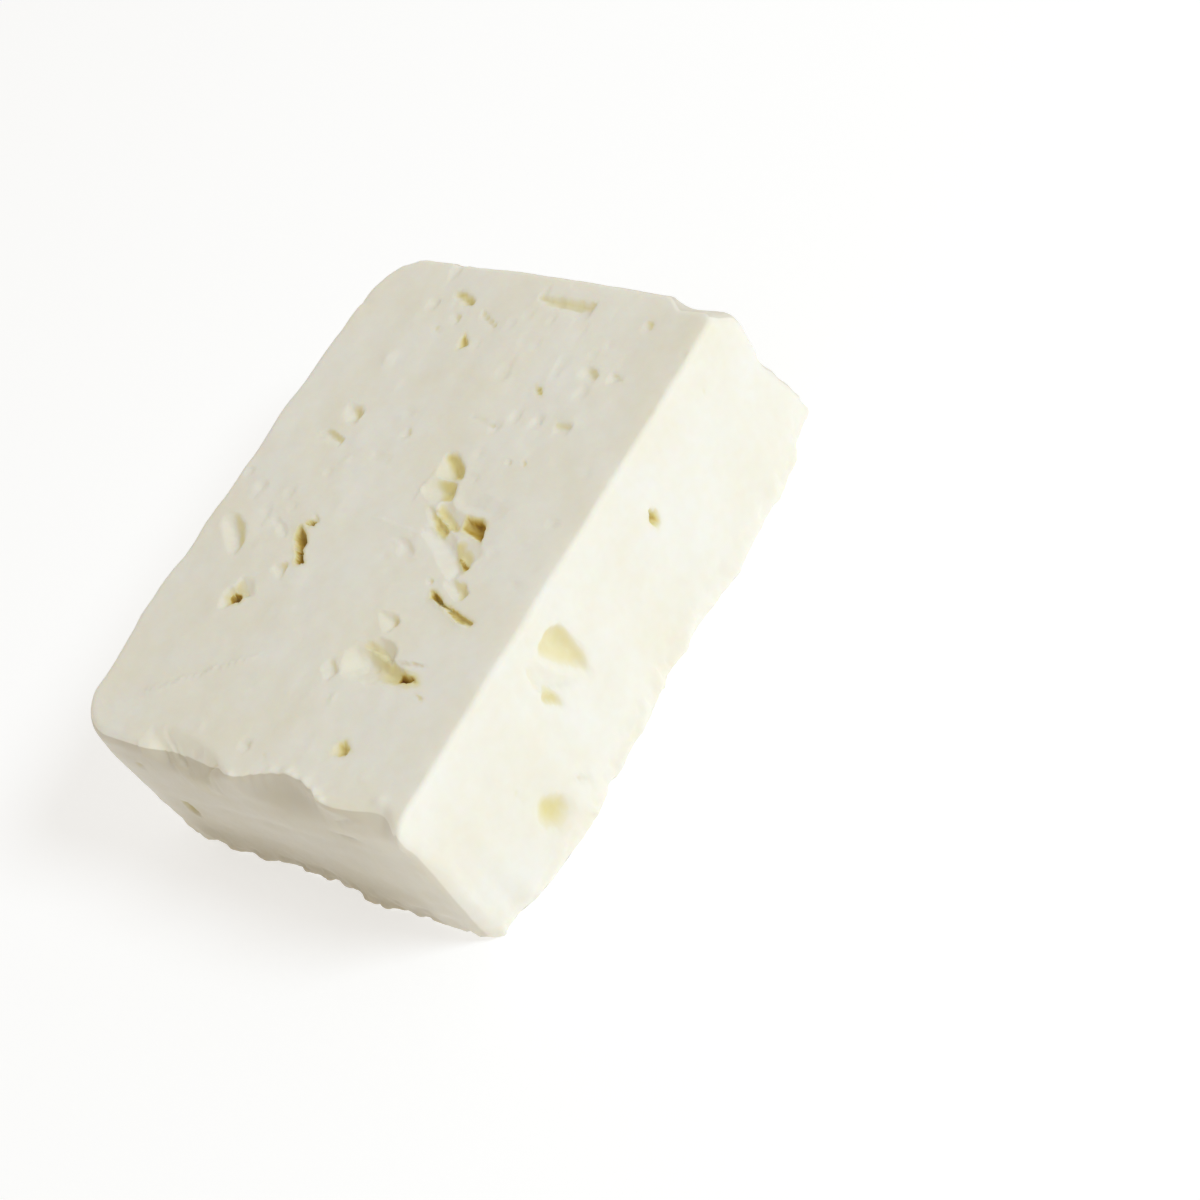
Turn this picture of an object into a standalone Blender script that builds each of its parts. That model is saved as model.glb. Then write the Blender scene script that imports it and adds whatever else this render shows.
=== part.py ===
"""A block of fresh white cheese, cut from a bigger pressed slab and lying on its broad cut face.

The block is one solid. Its surface is worked out as one grid wrapped round a box: the box is rounded,
its corners are set askew, its sides swell and its rims are worn, and then the holes between the curds
are sunk into it. Where the surface is plain, a last modifier joins the small faces into larger ones.

Lengths are in millimetres until the mesh is made, which is in metres.
+X runs along the block, +Z is up, and the side -Y and the end -X are the fresh cuts.
"""

from typing import NamedTuple

import bpy
import numpy as np

MM = 0.001
NODE = "cheese_block"

# The cut block. Its far side and far corners were against the mould, so they swell and are round.
LENGTH = 120.0
WIDTH = 88.0
HEIGHT = 36.0
MIDDLE_Y = 2.0
FOOTPRINT_MIDDLE = (0.6, -1.1)

# Plan radius of the four upright corners, by the signs of x and y
PLAN_RADIUS = {(-1, -1): 2.0, (1, -1): 3.0, (1, 1): 11.0, (-1, 1): 10.0}
# Radius of the rim round the top and round the foot, on the sides -X, +X, -Y and +Y
TOP_RADIUS = (2.6, 1.6, 0.9, 2.2)
FOOT_RADIUS = (1.6, 1.8, 1.6, 2.2)
# How many times wider the top rim is rounded along the ridged end: place across it, and the number
END_ROUND = ((-44.0, 0.5), (-41.0, 0.9), (-36.0, 1.9), (-31.0, 1.1), (-26.0, 0.6), (-22.0, 0.35),
             (-10.0, 0.35), (-5.0, 0.6), (-0.5, 0.5), (5.0, 1.5), (12.0, 2.2), (20.0, 2.3), (24.0, 1.0),
             (46.0, 1.0))

# How far the foot's corners stand off the box, by the signs of x and y
FOOT_SHIFT = {(-1, -1): (-1.7, 0.4), (1, -1): (2.2, 0.2), (1, 1): (1.0, -0.6), (-1, 1): (-0.3, -2.4)}

# Swelling of the sides: place along the side, and how far it stands out there
MOULD_SIDE_SWELL = ((-60.0, -0.9), (-46.0, 0.2), (-27.0, 1.8), (-10.0, 0.6), (12.0, 0.5), (30.0, 0.0),
                    (60.0, -1.2))
FOOT_SWELL = ((-60.0, 1.0), (-57.0, 3.7), (-54.0, 4.5), (-49.0, 6.4), (-38.0, 7.2), (-31.0, 8.0),
              (-26.0, 6.9), (-8.0, 6.6), (2.0, 6.2), (23.0, 7.6), (40.0, 6.3), (60.0, 1.8))
# Where the ridged end's own forms fade in, as distances from the block's middle
END_FADE = (44.0, 58.0)
# The recessed rim over the ridged end: place across the end, and how far the rim is cut back
END_RIM = ((-42.0, 0.4), (-38.0, 0.9), (-33.5, 1.0), (-29.3, 0.4), (-26.0, 0.2), (-22.4, 0.4), (-19.3, 2.1),
           (-16.0, 3.2), (-12.5, 3.6), (-10.0, 3.3), (-7.4, 2.5), (-5.0, 1.6), (-3.0, 0.7), (-0.3, 0.0),
           (5.0, 0.6), (14.0, 1.0), (20.0, 0.8), (26.0, 0.0), (46.0, 0.0))
END_RIM_FADE = (27.0, 36.0)
END_RIM_CURVE = 1.4
# The same for its foot
END_FOOT = ((-42.0, 0.0), (-8.0, 0.0), (-2.0, 0.6), (28.0, 0.6), (36.0, 0.3), (46.0, 0.0))
# The upright edge between the two cuts, and how far its top corner is worn down
LEFT_WAVE = ((0.0, 0.0), (15.0, -0.4), (27.0, -0.8), (36.0, -1.9))
LEFT_WEAR = 3.0
LEFT_WEAR_REACH = 4.4
LEFT_WEAR_CURVE = 2.5
LEFT_FADE = (52.0, 60.0)
LEFT_WAVE_FADE = (36.0, 41.0)
LEFT_WEAR_FADE = (33.0, 41.0)
LEFT_WEAR_RISE = (24.0, 36.0)
# The upright edge at the other end of the long cut: height, and how far it stands out along the block
CORNER_WAVE = ((0.0, 0.4), (4.0, 1.1), (8.0, 0.8), (12.0, 0.0), (18.0, -1.4), (23.0, -0.2), (28.0, 0.5),
               (36.0, 0.0))
CORNER_FADE = (44.0, 58.0)
CORNER_WAVE_FADE = (22.0, 40.0)
# The chip out of the top of that corner
CHIP = 3.2
CHIP_FADE = (50.0, 59.0)
CHIP_ACROSS = (29.0, 34.0)
CHIP_RISE = (30.0, 36.0)

# Lumps: the size of each and how far the surface moves. Below the hold the foot isn't lifted.
UNDULATION = ((26.0, 0.55), (9.0, 0.22), (3.6, 0.10))
FOOT_HOLD = 3.0
# Ridges on both ends: their spacing up and across, tilt, depth, and the bare margin at the rims
RIDGE_PITCH = 2.3
RIDGE_RUN = 34.0
RIDGE_TILT = 0.03
RIDGE_RELIEF = 0.18
RIDGE_MARGIN = 3.0
# Crumbling along the foot: its size, depth and height
CRUMBLE_SIZE = 4.2
CRUMBLE_RELIEF = 0.8
CRUMBLE_HIGH = 9.0

# The grid: its step, the lines near each edge, and the share of triangles that is kept
STEP = 1.15
EDGE_LINES = (0.0, 0.35, 0.8, 1.35, 2.0, 2.8)
FOOT_STRIDE = 4
KEPT_SHARE = 0.17
# Grid points nearer to a pit's rim than the reach are drawn to it, the nearest most
RIM_REACH = 1.6
RIM_PULL = 1.9

# Pits: how far behind its face one still cuts, and how uneven their rims and floors are
PIT_REACH = 10.0
RAGGED_SIZE = 1.9
RAGGED_REACH = 0.30
FLOOR_SIZE = 1.4
FLOOR_RELIEF = 0.12


class Pit(NamedTuple):
    """A hole between curds: its face and depth, the way to its steep wall in degrees, the least and the
    greatest slope of its walls, and the corners of its rim."""

    face: str
    deep: float
    lean: float
    gentle: float
    steep: float
    rim: tuple


TOP_PITS = (
    # The long teardrop near the ridged end: its bowl, the facet on its right, its tip and a groove
    Pit("top", 3.6, -35.0, 0.62, 1.0, ((-35.5, -15.0), (-34.4, -22.6), (-33.1, -26.6), (-32.3, -27.8),
                                       (-31.4, -26.6), (-27.2, -15.0), (-26.6, -11.6), (-27.4, -9.6),
                                       (-29.6, -8.0), (-33.0, -8.8), (-35.2, -10.2))),
    Pit("top", 3.1, 155.0, 1.1, 2.2, ((-30.0, -20.4), (-28.4, -20.0), (-26.4, -19.0), (-25.2, -15.4),
                                      (-25.4, -12.8), (-27.6, -10.2), (-29.0, -15.0))),
    Pit("top", 5.6, 0.0, 2.6, 3.4, ((-33.2, -22.8), (-33.0, -26.2), (-32.3, -27.6), (-31.6, -26.8),
                                    (-30.9, -24.4), (-31.0, -22.2))),
    Pit("top", 0.8, 0.0, 0.5, 1.2, ((-30.4, -21.4), (-29.8, -26.4), (-29.0, -29.0), (-28.6, -24.6),
                                    (-28.8, -20.4))),
    # The cluster in the middle: two lobes, the crevice and knob left of them, the hole and the flat below
    Pit("top", 2.6, -40.0, 0.8, 1.0, ((9.4, -4.6), (10.0, -8.8), (12.0, -8.9), (14.6, -7.0), (16.4, -4.0),
                                      (16.0, -2.0), (13.0, -1.2), (10.4, -2.4))),
    Pit("top", 2.4, -50.0, 0.75, 1.0, ((4.4, -6.0), (5.8, -9.8), (7.6, -9.4), (9.6, -8.6), (10.4, -5.0),
                                       (9.2, -2.0), (7.0, -1.0), (5.0, -3.2))),
    Pit("top", 2.8, -60.0, 1.0, 1.6, ((-2.6, -12.4), (-0.8, -13.8), (3.4, -6.8), (3.4, -4.4), (0.2, -7.8),
                                      (-2.2, -10.4))),
    Pit("top", 2.2, 150.0, 0.55, 1.6, ((-0.8, -13.6), (0.0, -15.8), (3.4, -15.4), (6.2, -9.2),
                                       (5.4, -7.6), (3.4, -7.2), (1.2, -9.6))),
    Pit("top", 2.8, -20.0, 1.4, 2.2, ((-2.0, -22.3), (0.0, -21.7), (2.5, -20.7), (3.3, -18.0),
                                      (3.2, -14.6), (0.6, -15.0), (-0.5, -17.4), (-1.3, -20.0))),
    Pit("top", 5.4, 0.0, 2.6, 3.4, ((0.8, -21.2), (2.5, -20.6), (3.2, -18.4), (3.2, -16.2),
                                    (1.9, -16.4))),
    Pit("top", 1.6, 150.0, 0.3, 1.1, ((-7.8, -23.2), (-5.8, -24.0), (-3.4, -24.5), (-1.8, -22.0),
                                      (-0.8, -19.0), (-1.6, -17.0), (-3.4, -16.4), (-5.6, -18.4))),
    Pit("top", 2.8, -60.0, 1.6, 2.4, ((-8.5, -22.8), (-7.4, -23.3), (-5.5, -20.4), (-4.7, -18.0),
                                      (-5.6, -18.2), (-7.4, -20.6))),
    Pit("top", 1.7, -35.0, 0.62, 0.8, ((-11.4, -21.2), (-7.8, -23.2), (-3.4, -18.6), (-0.6, -14.0),
                                       (-0.4, -9.0), (-1.0, -6.4), (-2.8, -8.4), (-7.8, -15.4))),
    Pit("top", 0.7, -35.0, 0.4, 0.5, ((-8.4, -6.0), (-7.4, -9.6), (-5.2, -8.0), (-3.6, -4.0),
                                      (-4.6, -1.4))),
    Pit("top", 0.7, -35.0, 0.22, 0.22, ((2.8, -22.0), (6.4, -24.0), (9.0, -16.0), (8.5, -10.2),
                                        (3.0, -10.5))),
    # The deep slit and its tail, the hole beside it, and the dent left of it
    Pit("top", 3.4, -30.0, 2.6, 2.8, ((-13.0, 17.6), (-11.4, 16.7), (-9.6, 17.2), (-8.2, 18.8),
                                      (-6.5, 20.9), (-7.2, 21.8), (-8.8, 21.6), (-10.6, 20.3),
                                      (-12.2, 18.9))),
    Pit("top", 3.4, -30.0, 2.6, 3.2, ((-15.1, 15.9), (-14.4, 14.6), (-10.6, 17.8), (-12.0, 18.8),
                                      (-14.5, 17.4))),
    Pit("top", 1.7, 0.0, 2.4, 2.8, ((-6.7, 19.4), (-6.0, 18.5), (-5.2, 19.0), (-5.4, 20.3),
                                    (-6.2, 20.5))),
    Pit("top", 1.2, -40.0, 0.6, 0.8, ((-5.8, 19.0), (-5.6, 17.4), (-4.2, 18.0), (-3.4, 19.8),
                                      (-4.4, 20.2))),
    Pit("top", 1.4, -50.0, 0.7, 0.6, ((-19.2, 18.6), (-18.6, 17.5), (-16.6, 17.7), (-14.9, 18.0),
                                      (-14.8, 19.2), (-15.6, 21.2), (-17.2, 21.8))),
    Pit("top", 0.8, -35.0, 0.42, 0.42, ((-10.2, 23.4), (-8.6, 23.2), (-6.4, 26.2), (-5.8, 28.6),
                                        (-6.8, 29.6), (-9.2, 26.6))),
    # The funnel with its shallow collar, and the long scoop near the mould side
    Pit("top", 4.4, 0.0, 2.2, 3.2, ((-26.4, 25.0), (-25.6, 23.7), (-24.7, 23.7), (-23.4, 25.4),
                                    (-23.6, 27.5), (-24.9, 28.1), (-26.2, 26.8))),
    Pit("top", 1.8, -30.0, 0.6, 0.9, ((-28.6, 27.2), (-26.8, 25.0), (-24.6, 23.4), (-22.4, 25.0),
                                      (-22.4, 28.8), (-24.6, 29.3), (-27.2, 28.8))),
    Pit("top", 1.7, 150.0, 0.4, 1.2, ((-24.6, 23.4), (-23.7, 21.3), (-21.4, 22.4), (-20.0, 24.4),
                                      (-20.2, 27.6), (-23.4, 27.6))),
    Pit("top", 2.2, -50.0, 1.1, 0.62, ((-16.6, 32.6), (-13.4, 32.1), (-10.8, 33.0), (-8.4, 35.4),
                                       (-7.0, 38.4), (-7.4, 40.6), (-9.4, 41.4), (-12.6, 38.8),
                                       (-16.0, 35.0))),
    # Small ones along the far half
    Pit("top", 1.9, -45.0, 0.7, 1.0, ((17.4, 27.4), (17.6, 24.8), (21.2, 24.7), (22.6, 26.4),
                                      (22.6, 30.2), (20.2, 30.2))),
    Pit("top", 0.9, -20.0, 0.5, 0.9, ((12.2, 25.3), (14.4, 25.0), (15.6, 28.4), (15.5, 31.0),
                                      (13.8, 33.4))),
    Pit("top", 1.8, -20.0, 1.0, 1.2, ((49.6, 18.4), (49.8, 15.4), (50.9, 15.4), (51.9, 16.4),
                                      (52.7, 19.4), (52.9, 22.4), (51.2, 21.8))),
    Pit("top", 1.3, -60.0, 0.9, 1.1, ((39.0, 11.9), (40.0, 10.2), (40.8, 10.1), (43.4, 13.6),
                                      (41.0, 13.6), (39.2, 13.0))),
    Pit("top", 0.8, -20.0, 0.5, 0.8, ((41.8, 19.6), (43.2, 18.6), (43.9, 20.2), (44.3, 22.3),
                                      (42.0, 21.4))),
    Pit("top", 0.8, -40.0, 0.5, 0.8, ((44.8, 17.0), (46.0, 16.4), (47.4, 16.6), (47.9, 19.4),
                                      (46.2, 19.8))),
    Pit("top", 0.9, -30.0, 0.5, 0.9, ((44.6, 5.8), (46.6, 6.4), (49.6, 12.6), (47.6, 12.4), (45.8, 8.8))),
    Pit("top", 0.6, -40.0, 0.4, 0.7, ((16.8, 9.2), (18.0, 9.3), (18.9, 10.2), (18.9, 11.8),
                                      (17.2, 11.2))),
    Pit("top", 1.4, 0.0, 0.55, 0.8, ((50.4, -13.9), (54.9, -13.8), (54.9, 0.8), (53.2, 0.8), (51.8, -3.0),
                                     (51.0, -9.0))),
    Pit("top", 1.2, -30.0, 0.7, 1.0, ((36.9, -21.4), (37.2, -24.0), (38.6, -25.2), (40.0, -23.4),
                                      (40.7, -20.2), (37.8, -19.4))),
    Pit("top", 0.9, -20.0, 0.6, 0.9, ((36.9, -27.6), (38.2, -31.0), (39.2, -29.6), (40.0, -27.0),
                                      (38.4, -26.6))),
    Pit("top", 0.9, -40.0, 0.5, 0.9, ((49.6, -29.2), (52.4, -29.4), (53.4, -27.2), (50.6, -26.8))),
    Pit("top", 1.1, -40.0, 1.6, 2.0, ((31.9, -14.7), (33.4, -14.0), (34.1, -11.8), (32.8, -12.4))),
    Pit("top", 0.7, 0.0, 0.35, 0.6, ((23.8, -22.6), (24.0, -26.0), (27.0, -26.2), (26.6, -22.0))),
    Pit("top", 0.6, -20.0, 0.4, 0.7, ((22.6, -8.8), (24.0, -8.4), (24.9, -1.8), (23.4, -1.6))),
    Pit("top", 0.6, -60.0, 0.4, 0.7, ((15.6, -21.4), (17.0, -21.4), (17.7, -19.8), (16.2, -19.6))),
    Pit("top", 0.5, -60.0, 0.4, 0.7, ((15.0, -18.2), (16.4, -18.0), (17.2, -16.0), (15.6, -16.2))),
    # The narrow crack and its neighbours near the front edge
    Pit("top", 2.2, 20.0, 3.0, 3.4, ((-17.1, -24.4), (-16.4, -25.0), (-13.5, -19.4), (-13.7, -18.0),
                                     (-14.9, -18.8), (-16.3, -21.8))),
    Pit("top", 1.4, 0.0, 1.0, 2.2, ((-19.0, -31.3), (-17.9, -31.7), (-16.9, -28.0), (-16.0, -24.4),
                                    (-17.4, -24.0), (-18.6, -27.8))),
    Pit("top", 1.4, -45.0, 0.6, 0.9, ((-14.8, -25.8), (-12.4, -26.9), (-10.6, -24.6), (-10.0, -21.4),
                                      (-11.6, -19.8), (-13.8, -22.6))),
    Pit("top", 0.6, -30.0, 0.5, 0.8, ((-12.8, -17.6), (-11.2, -17.4), (-11.2, -15.4), (-12.6, -15.6))),
    Pit("top", 1.9, -60.0, 0.55, 1.1, ((-24.8, -14.2), (-23.2, -15.4), (-21.4, -16.3), (-20.1, -14.8),
                                       (-19.8, -9.2), (-22.8, -11.6))),
    Pit("top", 1.3, -45.0, 0.55, 0.6, ((-36.8, -7.8), (-34.8, -10.0), (-31.6, -6.8), (-32.2, -5.8),
                                       (-34.6, -5.2))),
    Pit("top", 1.7, -60.0, 1.0, 1.2, ((-50.2, -19.4), (-49.4, -22.2), (-48.4, -23.2), (-46.4, -20.2),
                                      (-47.0, -18.6), (-49.2, -18.4))),
    Pit("top", 1.5, -30.0, 0.8, 1.2, ((-55.0, 0.0), (-53.6, -1.2), (-52.3, 0.2), (-52.4, 2.0),
                                      (-53.8, 2.6))),
    Pit("top", 0.4, -30.0, 0.3, 0.6, ((-55.4, -5.8), (-54.0, -5.8), (-53.6, -4.6), (-54.8, -4.4))),
    Pit("top", 0.6, -30.0, 0.5, 0.8, ((-36.0, -31.4), (-34.8, -31.0), (-34.4, -29.0), (-35.4, -28.4))),
    # The groove behind the ridged end's rim, and the lit slope at its top
    Pit("top", 1.6, 195.0, 0.42, 1.0, ((-61.6, 14.0), (-60.6, 8.0), (-57.8, 3.6), (-55.6, 8.0),
                                       (-54.4, 14.0), (-53.8, 21.8), (-55.8, 22.4), (-59.0, 18.8))),
    Pit("top", 1.0, -60.0, 0.26, 0.5, ((-61.4, 14.0), (-58.0, 15.0), (-54.4, 21.6), (-54.6, 25.4),
                                       (-58.0, 26.0), (-61.4, 24.0))),
)

FRONT_PITS = (
    # The broad shallow hole, its yellow lobe, the pinhole, the round one near the foot and a few nicks
    Pit("front", 2.4, 25.0, 0.5, 1.0, ((-19.4, 26.4), (-16.8, 20.8), (-13.0, 15.4), (-11.2, 17.8),
                                       (-10.0, 22.0), (-9.6, 26.7), (-10.4, 29.6), (-13.0, 31.0),
                                       (-16.0, 31.2), (-18.8, 29.9))),
    Pit("front", 1.4, 170.0, 0.35, 1.2, ((-22.8, 26.0), (-22.0, 23.0), (-20.0, 20.4), (-18.0, 19.2),
                                         (-15.0, 18.8), (-18.6, 29.6), (-21.0, 30.4), (-22.6, 28.8))),
    Pit("front", 1.8, 190.0, 0.8, 1.4, ((-23.8, 22.0), (-22.2, 19.6), (-20.6, 17.8), (-19.6, 20.0),
                                        (-19.6, 22.4), (-20.8, 24.2), (-22.4, 24.8), (-23.6, 23.8))),
    Pit("front", 3.6, 0.0, 2.6, 3.6, ((16.7, 23.0), (17.4, 21.6), (18.8, 22.0), (19.2, 23.8),
                                      (18.2, 25.2), (17.0, 24.6))),
    Pit("front", 1.9, 60.0, 0.5, 0.7, ((-41.4, 9.0), (-40.2, 5.8), (-37.6, 4.4), (-34.2, 5.2),
                                       (-32.6, 7.8), (-33.8, 10.6), (-36.2, 13.2), (-39.4, 12.9),
                                       (-40.8, 11.8))),
    Pit("front", 1.3, 60.0, 0.7, 1.2, ((-31.0, 8.6), (-29.0, 6.0), (-27.4, 4.8), (-26.8, 6.4),
                                       (-29.6, 9.4))),
    Pit("front", 0.7, 60.0, 0.4, 0.7, ((-40.8, 17.4), (-39.8, 14.4), (-38.4, 15.2), (-39.0, 18.2))),
    Pit("front", 0.7, 0.0, 0.6, 1.0, ((42.6, 29.6), (43.8, 27.4), (44.4, 29.6))),
    Pit("front", 0.7, 0.0, 0.6, 1.0, ((38.0, 19.4), (39.2, 17.6), (40.0, 19.6))),
    Pit("front", 0.6, 0.0, 0.6, 1.0, ((-47.4, 28.0), (-46.4, 26.2), (-46.2, 28.2))),
    Pit("front", 0.7, 0.0, 0.4, 0.8, ((-30.2, 28.0), (-28.9, 25.0), (-28.8, 27.8))),
)

END_PITS = (
    # Two crevices in the upright fold near the mould side, and two creases nearer the front
    Pit("end", 0.6, 90.0, 0.5, 0.9, ((-28.6, 25.4), (-24.0, 24.9), (-19.4, 24.7), (-19.0, 25.6),
                                     (-23.4, 26.8), (-27.6, 26.8))),
    Pit("end", 0.5, 90.0, 0.5, 0.9, ((-30.4, 33.4), (-25.0, 30.4), (-24.2, 31.4), (-29.4, 34.2))),
    Pit("end", 1.3, 0.0, 0.6, 1.0, ((27.2, 30.4), (28.6, 28.6), (30.6, 29.4), (29.2, 30.8))),
    Pit("end", 1.5, 0.0, 1.0, 1.6, ((23.8, 14.6), (25.6, 12.2), (27.6, 13.6), (27.4, 17.4),
                                    (24.8, 18.0))),
)

# Holes on the mould side and the far end: how many, and the seed that places them
MOULD_SIDE_PITS = 9
FAR_END_PITS = 7
PIT_SEED = 20


def smooth(share):
    """An S-shaped blend from 0 to 1."""
    share = np.clip(share, 0.0, 1.0)
    return share * share * (3.0 - 2.0 * share)


def fade(place, stretch):
    """A smooth blend from 0 at the first of two places to 1 at the second."""
    return smooth((place - stretch[0]) / (stretch[1] - stretch[0]))


def lump_field(points, size, seed):
    """Smooth random lumps of a given size: a seeded lattice of values, blended in three directions."""
    side = 32
    lattice = np.random.default_rng(seed).uniform(-1.0, 1.0, (side, side, side))
    place = points / size + 100.0 * side
    cell = np.floor(place).astype(int)
    part = place - cell
    part = part * part * part * (part * (part * 6.0 - 15.0) + 10.0)
    total = np.zeros(len(points))
    for dx in (0, 1):
        for dy in (0, 1):
            for dz in (0, 1):
                near = (cell + (dx, dy, dz)) % side
                corner = lattice[near[:, 0], near[:, 1], near[:, 2]]
                weight = np.ones(len(points))
                for axis, step in enumerate((dx, dy, dz)):
                    weight = weight * (part[:, axis] if step else 1.0 - part[:, axis])
                total += weight * corner
    return total


def grid_lines(low, high, step):
    """Places of the grid's lines from low to high: close together near both ends, even between them."""
    near = np.array(EDGE_LINES)
    count = max(2, round((high - low - 2 * near[-1]) / step))
    inner = np.linspace(low + near[-1], high - near[-1], count + 1)
    return np.concatenate([low + near[:-1], inner, high - near[:-1][::-1]])


def wrapped_grid():
    """The closed box as points and faces. The six faces share the points on their common edges."""
    xs = grid_lines(-LENGTH / 2, LENGTH / 2, STEP)
    ys = grid_lines(-WIDTH / 2, WIDTH / 2, STEP)
    zs = grid_lines(0.0, HEIGHT, STEP)
    nx, ny, nz = len(xs), len(ys), len(zs)
    number = {}
    points = []

    def at(i, j, k):
        key = (i, j, k)
        if key not in number:
            number[key] = len(points)
            points.append((xs[i], ys[j], zs[k]))
        return number[key]

    faces = []
    for i in range(nx - 1):
        for j in range(ny - 1):
            top = nz - 1
            faces.append((at(i, j, top), at(i + 1, j, top), at(i + 1, j + 1, top), at(i, j + 1, top)))
    for k in range(nz - 1):
        for i in range(nx - 1):
            faces.append((at(i, 0, k), at(i + 1, 0, k), at(i + 1, 0, k + 1), at(i, 0, k + 1)))
            far = ny - 1
            faces.append((at(i + 1, far, k), at(i, far, k), at(i, far, k + 1), at(i + 1, far, k + 1)))
        for j in range(ny - 1):
            faces.append((at(0, j + 1, k), at(0, j, k), at(0, j, k + 1), at(0, j + 1, k + 1)))
            far = nx - 1
            faces.append((at(far, j, k), at(far, j + 1, k), at(far, j + 1, k + 1), at(far, j, k + 1)))
    faces += foot_faces(at, nx, ny)
    return np.array(points), faces


def foot_faces(at, nx, ny):
    """The foot in coarse cells. A cell at the border also takes the finer points of the sides."""
    rows = sorted(set(range(0, nx, FOOT_STRIDE)) | {nx - 1})
    columns = sorted(set(range(0, ny, FOOT_STRIDE)) | {ny - 1})
    faces = []
    for i0, i1 in zip(rows, rows[1:]):
        for j0, j1 in zip(columns, columns[1:]):
            near = [(i, j0) for i in (range(i0, i1) if j0 == 0 else [i0])]
            right = [(i1, j) for j in (range(j0, j1) if i1 == nx - 1 else [j0])]
            far = [(i, j1) for i in (range(i1, i0, -1) if j1 == ny - 1 else [i1])]
            left = [(i0, j) for j in (range(j1, j0, -1) if i0 == 0 else [j1])]
            loop = [at(i, j, 0) for i, j in near + right + far + left]
            faces.append(tuple(reversed(loop)))
    return faces


def rounded(points):
    """The box with round upright corners, and with round rims at the top and the foot.

    A square corner becomes an arc by keeping each point's distance along the longer axis and making it
    the distance from the arc's centre. The rims do the same with the distances in from the side and
    down from the top.
    """
    half_x, half_y = LENGTH / 2, WIDTH / 2
    sign_x = np.where(points[:, 0] < 0, -1, 1)
    sign_y = np.where(points[:, 1] < 0, -1, 1)
    radius = np.zeros(len(points))
    for (sx, sy), value in PLAN_RADIUS.items():
        radius[(sign_x == sx) & (sign_y == sy)] = value
    over_x = np.abs(points[:, 0]) - (half_x - radius)
    over_y = np.abs(points[:, 1]) - (half_y - radius)
    corner = (over_x > 0) & (over_y > 0)
    longest = np.maximum(over_x, over_y)
    reach = np.hypot(over_x, over_y)
    shrink = np.where(corner, longest / np.where(reach > 0, reach, 1.0), 1.0)
    over_x = np.where(corner, over_x * shrink, over_x)
    over_y = np.where(corner, over_y * shrink, over_y)
    x = sign_x * (over_x + half_x - radius)
    y = sign_y * (over_y + half_y - radius)
    inset = np.minimum(half_x - np.abs(points[:, 0]), half_y - np.abs(points[:, 1]))
    arc = np.where(corner, np.hypot(over_x, over_y), 1.0)
    arc = np.where(arc > 0, arc, 1.0)
    on_x = half_x - np.abs(points[:, 0]) < half_y - np.abs(points[:, 1])
    out_x = sign_x * np.where(corner, over_x / arc, np.where(on_x, 1.0, 0.0))
    out_y = sign_y * np.where(corner, over_y / arc, np.where(on_x, 0.0, 1.0))
    z = points[:, 2].copy()
    left = along(END_ROUND, points[:, 1] + MIDDLE_Y)
    for radii, level, up in ((TOP_RADIUS, HEIGHT, 1.0), (FOOT_RADIUS, 0.0, -1.0)):
        rim = (out_x ** 2 * np.where(out_x < 0, radii[0] * (left if up > 0 else 1.0), radii[1])
               + out_y ** 2 * np.where(out_y < 0, radii[2], radii[3]))
        side = rim - inset
        down = rim - np.abs(level - points[:, 2])
        turned = (side > 0) & (down > 0)
        arc = np.where(turned, np.hypot(side, down), 1.0)
        share = np.where(turned, np.maximum(side, down) / arc, 1.0)
        moved = np.where(turned, side * (1.0 - share), 0.0)
        x = x - out_x * moved
        y = y - out_y * moved
        z = np.where(turned, level - up * (rim - down * share), z)
    return np.stack([x, y + MIDDLE_Y, z], 1)


def along(profile, place):
    """A smooth value at each place, read between the named points of a profile."""
    at, value = np.array(profile).T
    index = np.clip(np.searchsorted(at, place) - 1, 0, len(at) - 2)
    part = smooth((place - at[index]) / (at[index + 1] - at[index]))
    return value[index] + (value[index + 1] - value[index]) * part


def swollen(points):
    """The rounded box with its foot's corners shifted, its sides swollen and its rims worn."""
    x, y, z = points.T
    side_x = np.clip(x / (LENGTH / 2), -1, 1)
    side_y = np.clip((y - MIDDLE_Y) / (WIDTH / 2), -1, 1)
    low = 1.0 - z / HEIGHT
    moved = points.copy()
    for (sx, sy), shift in FOOT_SHIFT.items():
        weight = low * (1 + sx * side_x) / 2 * (1 + sy * side_y) / 2
        moved[:, 0] += weight * shift[0]
        moved[:, 1] += weight * shift[1]
    moved[:, 1] += along(MOULD_SIDE_SWELL, x) * smooth(side_y) * (0.55 + 0.45 * z / HEIGHT)
    moved[:, 1] -= along(FOOT_SWELL, x) * smooth(-side_y * 1.2) * low ** 1.15
    high = fade(z, END_RIM_FADE) ** END_RIM_CURVE
    moved[:, 0] += (along(END_RIM, y) * high + along(END_FOOT, y) * low ** 2) * fade(-x, END_FADE)
    left = fade(-x, LEFT_FADE)
    moved[:, 0] += along(LEFT_WAVE, z) * left * fade(-y, LEFT_WAVE_FADE)
    worn = np.clip(1.0 - (x + LENGTH / 2) / LEFT_WEAR_REACH, 0.0, 1.0) ** LEFT_WEAR_CURVE
    moved[:, 2] -= LEFT_WEAR * worn * fade(-y, LEFT_WEAR_FADE) * fade(z, LEFT_WEAR_RISE)
    moved[:, 0] += along(CORNER_WAVE, z) * fade(x, CORNER_FADE) * fade(-y, CORNER_WAVE_FADE)
    moved[:, 0] -= CHIP * fade(x, CHIP_FADE) * fade(-y, CHIP_ACROSS) * fade(z, CHIP_RISE)
    return moved


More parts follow.
